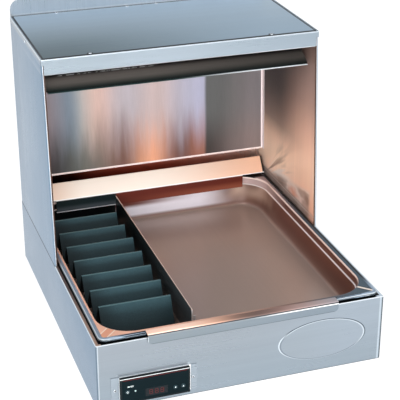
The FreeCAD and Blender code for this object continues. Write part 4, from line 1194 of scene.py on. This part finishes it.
def make_rack():
    """The bag rack: a zigzag line with small round folds carried along x."""
    ridges, pitch, first, low, high = 7, 61, 137, 74.5, 125.3
    ridge = first + pitch * upright(range(ridges))
    y = (ridge + np.array([-28.225, -1.525, 1.525, 28.225])).ravel()
    z = np.tile([low, high, high, low], ridges)
    y[-2:] = ridge[-1] + 2.0
    z[-1] = 73.3
    line = bent(np.concatenate([[(103.5, low)], np.stack([y, z], -1)]), 1.3, steps=5)
    piece("bag_rack_sheet", [patch(along_x(line, [-226.0, -92.0]))], RACK_COATING, "bag_rack",
          ["bag_rack"], thickness=1.2, bevel=0.2)


# Control

def upright_rings(inset, y, corner=1.6):
    """Upright rounded rectangles about the control's middle, one per inset and y."""
    inset = np.asarray(inset, float)
    loops = rings(CONTROL_X - CONTROL_HALF_WIDTH + inset, CONTROL_X + CONTROL_HALF_WIDTH - inset,
                  CONTROL_Z - CONTROL_HALF_HEIGHT + inset, CONTROL_Z + CONTROL_HALF_HEIGHT - inset,
                  np.maximum(corner - inset, 0.3), arc=6)
    return facing_front(loops, y)


def make_bezel():
    """The bezel's head with a rounded front edge and a recess, and its body behind the plate."""
    head = upright_rings([0, 0, 0.15, 0.5, 0.9, 2.8, 3.2, 3.2, 6.0, 6.0],
                         [-1.0, -7.2, -7.7, -7.95, -8.0, -8.0, -7.75, -6.6, -6.6, -1.0])
    body = upright_rings([2.0, 2.0, 3.6, 3.6], [-1.0, 9.0, 9.0, -1.0])
    for name, rows in (("control_bezel_frame", head), ("control_bezel_body", body)):
        piece(name, [patch(rows, wrap_u=True, wrap_v=True)], BEZEL_PLASTIC, "housing",
              ["control_bezel"], closed=True)


def make_buttons():
    """The push buttons, with softly crowned faces: a profile turned about each one's travel."""
    profile = [(0, 0), (1.6, -0.03), (2.9, -0.12), (3.7, -0.36), (4.1, -0.8), (4.2, -1.3),
               (4.2, -3.2), (0, -3.2)]
    for name, (u, v) in BUTTONS.items():
        grid = turned(profile, (CONTROL_X + u, -8.6, CONTROL_Z + v), (0, -1, 0))
        piece(name + "_cap", [patch(grid, wrap_v=True)], BUTTON_PLASTIC, name,
              [name], closed=True)


def strokes(segments, centre, width, depths):
    """Straight printed strokes: each is a flat bar along its own run, drawn between two depths."""
    parts = []
    for u0, v0, u1, v1 in segments:
        run = unit(np.array([u1 - u0, v1 - v0], float))
        side = np.array([-run[1], run[0]]) * width / 2
        ends = np.array([[u0, v0], [u1, v1]], float) + np.asarray(centre, float)
        loop = np.stack([ends[0] - side, ends[1] - side, ends[1] + side, ends[0] + side])
        parts += solid(facing_front(np.stack([loop, loop]), depths))
    return parts


def letters(text, height, width, pitch):
    """The strokes of a few plain letters side by side, centred on the text's middle."""
    shapes = {"O": [(0, 0, 0, 1), (0, 1, 1, 1), (1, 1, 1, 0), (1, 0, 0, 0)],
              "N": [(0, 0, 0, 1), (0, 1, 1, 0), (1, 0, 1, 1)],
              "F": [(0, 0, 0, 1), (0, 1, 1, 1), (0, 0.55, 0.8, 0.55)],
              "/": [(0.1, 0, 0.9, 1)]}
    start = -(pitch * (len(text) - 1) + width) / 2
    return [(start + i * pitch + u0 * width, (v0 - 0.5) * height,
             start + i * pitch + u1 * width, (v1 - 0.5) * height)
            for i, letter in enumerate(text) for u0, v0, u1, v1 in shapes[letter]]


def make_prints():
    """The printed marks: a word, signs on the buttons and the readout's unlit segments."""
    middle = np.array([CONTROL_X, CONTROL_Z])
    word = strokes(letters("ON/OFF", 2.3, 1.2, 1.9), middle + (-44.0, 7.5), 0.42, PRINT_DEPTHS)
    piece("overlay_word", word, PRINT_INK, "housing", closed=True)
    turn = upright(np.radians(90 + np.array([38, 72, 108, 144, 180, 216, 252, 288, 322])))
    radius = np.array([1.5, 2.1, 2.1, 1.5])
    power = middle + BUTTONS["power_button"]
    ring = grid_of(power[0] + radius * np.cos(turn), np.repeat(SIGN_DEPTHS, 2),
                   power[1] + radius * np.sin(turn))
    bar = strokes([(0, 0.5, 0, 2.4)], power, 0.5, SIGN_DEPTHS)
    piece("power_button_sign", solid(ring) + bar, PRINT_INK, "power_button",
          closed=True)
    for name, lift in (("down_button", -1), ("up_button", 1)):
        shape = np.array([[-1.7, -1.0], [1.7, -1.0], [0.0, 1.6]]) * (1, lift)
        shape = shape + middle + BUTTONS[name]
        piece(name + "_sign", solid(facing_front(np.stack([shape, shape]), SIGN_DEPTHS)), PRINT_INK,
              name, closed=True)
    sides = [(-2.2, 4.3, 2.2, 4.3), (-2.2, 0, 2.2, 0), (-2.2, -4.3, 2.2, -4.3),
             (-2.6, 0.5, -2.6, 3.9), (2.6, 0.5, 2.6, 3.9), (-2.6, -3.9, -2.6, -0.5),
             (2.6, -3.9, 2.6, -0.5)]
    digits = [(u0 + shift, v0, u1 + shift, v1) for shift in (-10.0, 0.0, 10.0)
              for u0, v0, u1, v1 in sides]
    piece("readout_segments", strokes(digits, middle + (2, -10), 0.9, PRINT_DEPTHS), SEGMENT_RED,
          "housing", closed=True)


def make_screws(name, node, places):
    """Low round screw heads, with the place on each head stored for its cross recess."""
    sides, head_rows, off_the_cross = 24, 6, 9.0
    profile = np.array([(0, 1.5), (1.0, 1.48), (1.9, 1.36), (2.6, 1.05), (3.05, 0.6), (3.2, 0.1),
                        (3.2, 0.0), (1.6, 0.0), (1.6, -5.0), (0, -5.0)])
    a = np.linspace(0, 2 * np.pi, sides, endpoint=False) + 0.4
    spread = profile[:, None, :1] * np.stack([np.cos(a), np.sin(a)], -1)
    spread[head_rows:] = off_the_cross
    parts = [patch(turned(profile, centre, axis, sides), wrap_v=True) for centre, axis in places]
    piece(name, parts, SCREW_HEAD, "housing", [node], closed=True,
          uv=np.tile(spread.reshape(-1, 2), (len(parts), 1)))


make_base_wrapper()
make_oval()
make_side_panel(-1, "left_side_sheet", "left_side_panel")
make_side_panel(1, "right_side_sheet", "right_side_panel")
make_header()
make_back_wall()
make_reflector()
make_pan()
make_ramp()
make_divider()
make_rack()
make_bezel()
make_buttons()
make_prints()
make_screws("roof_screw_heads", "roof_screws",
            [((x, SCREW_Y, LID), (0, 0, 1)) for x in (-SCREW_X, SCREW_X)]
            + [((x, 602.8, LID), (0, 0, 1)) for x in (-SCREW_X, -30.5, 30.5, SCREW_X)])
make_screws("cap_screw_heads", "cap_screws",
            [((s * HALF, 469.0, 519.0), (s, 0, 0)) for s in (-1, 1)])
make_screws("control_screw_heads", "control_screws",
            [((CONTROL_X + s * 70, -1.0, CONTROL_Z), (0, -1, 0)) for s in (-1, 1)])
make_screws("back_screw_heads", "back_screws",
            [((s * 254.5, DEPTH, z), (0, 1, 0)) for s in (-1, 1) for z in (12.0, 118.0)]
            + [((s * 251.9, DEPTH, z), (0, 1, 0)) for s in (-1, 1) for z in (142.0, 512.2)])


# Floor, light and camera

def make_floor():
    """A wide pale floor that shows white to the camera and in mirrors, and keeps the shadow."""
    floor_mesh = bpy.data.meshes.new("studio_floor")
    reach = 30.0
    corners = [(-reach, -reach, 0), (reach, -reach, 0), (reach, reach, 0), (-reach, reach, 0)]
    floor_mesh.from_pydata(corners, [], [(0, 1, 2, 3)])
    floor = placed("studio_floor", floor_mesh)
    floor.location.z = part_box("base_wrapper")[0].z - 0.0003
    made, tree, shader = new_material("studio_floor_white")
    tree.nodes.remove(shader)
    path = add(tree, "ShaderNodeLightPath").outputs
    seen = highest(*(Signal(path[ray]) for ray in ("Is Camera Ray", "Is Glossy Ray",
                                                   "Is Transmission Ray")))
    pale, shown = [source(tree, "ShaderNodeBsdfDiffuse", inputs={"Color": (grey, grey, grey, 1.0)})
                   for grey in (0.8, 0.32)]
    white = source(tree, "ShaderNodeEmission", inputs={"Color": (1.0, 1.0, 1.0, 1.0),
                                                       "Strength": 0.82})
    lit = effect("ShaderNodeAddShader", {0: shown, 1: white})
    plug(tree.nodes["Material Output"],
         {"Surface": effect("ShaderNodeMixShader", {0: seen, 1: pale, 2: lit})})
    floor_mesh.materials.append(made)


def make_world():
    """A studio sky: white at the horizon, cooler and darker at middle height, then bright."""
    world = bpy.data.worlds.new("studio")
    bpy.context.scene.world = world
    world.use_nodes = True
    tree = world.node_tree
    height = parts_of(source(tree, "ShaderNodeTexCoord", "Generated"))[2]
    sky = shades(height, [(0.0, (1.0, 1.0, 1.0, 1.0)), (0.12, (0.93, 0.95, 0.97, 1.0)),
                          (0.30, (0.62, 0.66, 0.70, 1.0)), (0.55, (0.50, 0.53, 0.56, 1.0)),
                          (0.95, (0.95, 0.95, 0.95, 1.0))], convert=tuple)
    camera_ray = source(tree, "ShaderNodeLightPath", "Is Camera Ray")
    colour = mix(camera_ray, sky, (255, 255, 255))
    plug(tree.nodes["Background"], {"Color": colour, "Strength": 1.0})


def make_lamp(name, place, aim, size, power, mirrored=True):
    """A large soft lamp turned towards a point, which may be left out of mirrors."""
    data = bpy.data.lights.new(name, "AREA")
    data.shape = "RECTANGLE"
    data.size, data.size_y = size
    data.energy = power
    lamp = placed(name, data)
    lamp.location = place
    lamp.visible_glossy = mirrored
    run = np.subtract(aim, place)
    lamp.rotation_euler = (math.atan2(math.hypot(run[0], run[1]), -run[2]), 0,
                           math.atan2(run[1], run[0]) - math.pi / 2)


def make_camera():
    """The photograph's view: a long lens from the front left, looking down."""
    data = bpy.data.cameras.new("photo_camera")
    data.lens = 112.5
    data.sensor_width = 36.0
    camera = placed("photo_camera", data)
    camera.location = (-0.6793, -2.0532, 1.2310)
    camera.rotation_euler = (math.radians(90 - 24.947), 0, math.radians(-18.874))
    bpy.context.scene.camera = camera


make_floor()
make_world()
make_lamp("key_softbox", (-1.6, -1.8, 2.4), (0, 0, 0.25), (2.0, 2.0), 24)
make_lamp("fill_softbox", (1.8, -1.2, 2.0), (0, 0, 0.25), (2.0, 2.0), 12)
make_lamp("hood_softbox", (-0.35, -1.60, 0.36), (0.05, 0.25, 0.27), (1.2, 0.34), 32, mirrored=False)
make_camera()
bpy.context.scene.view_settings.view_transform = "Standard"
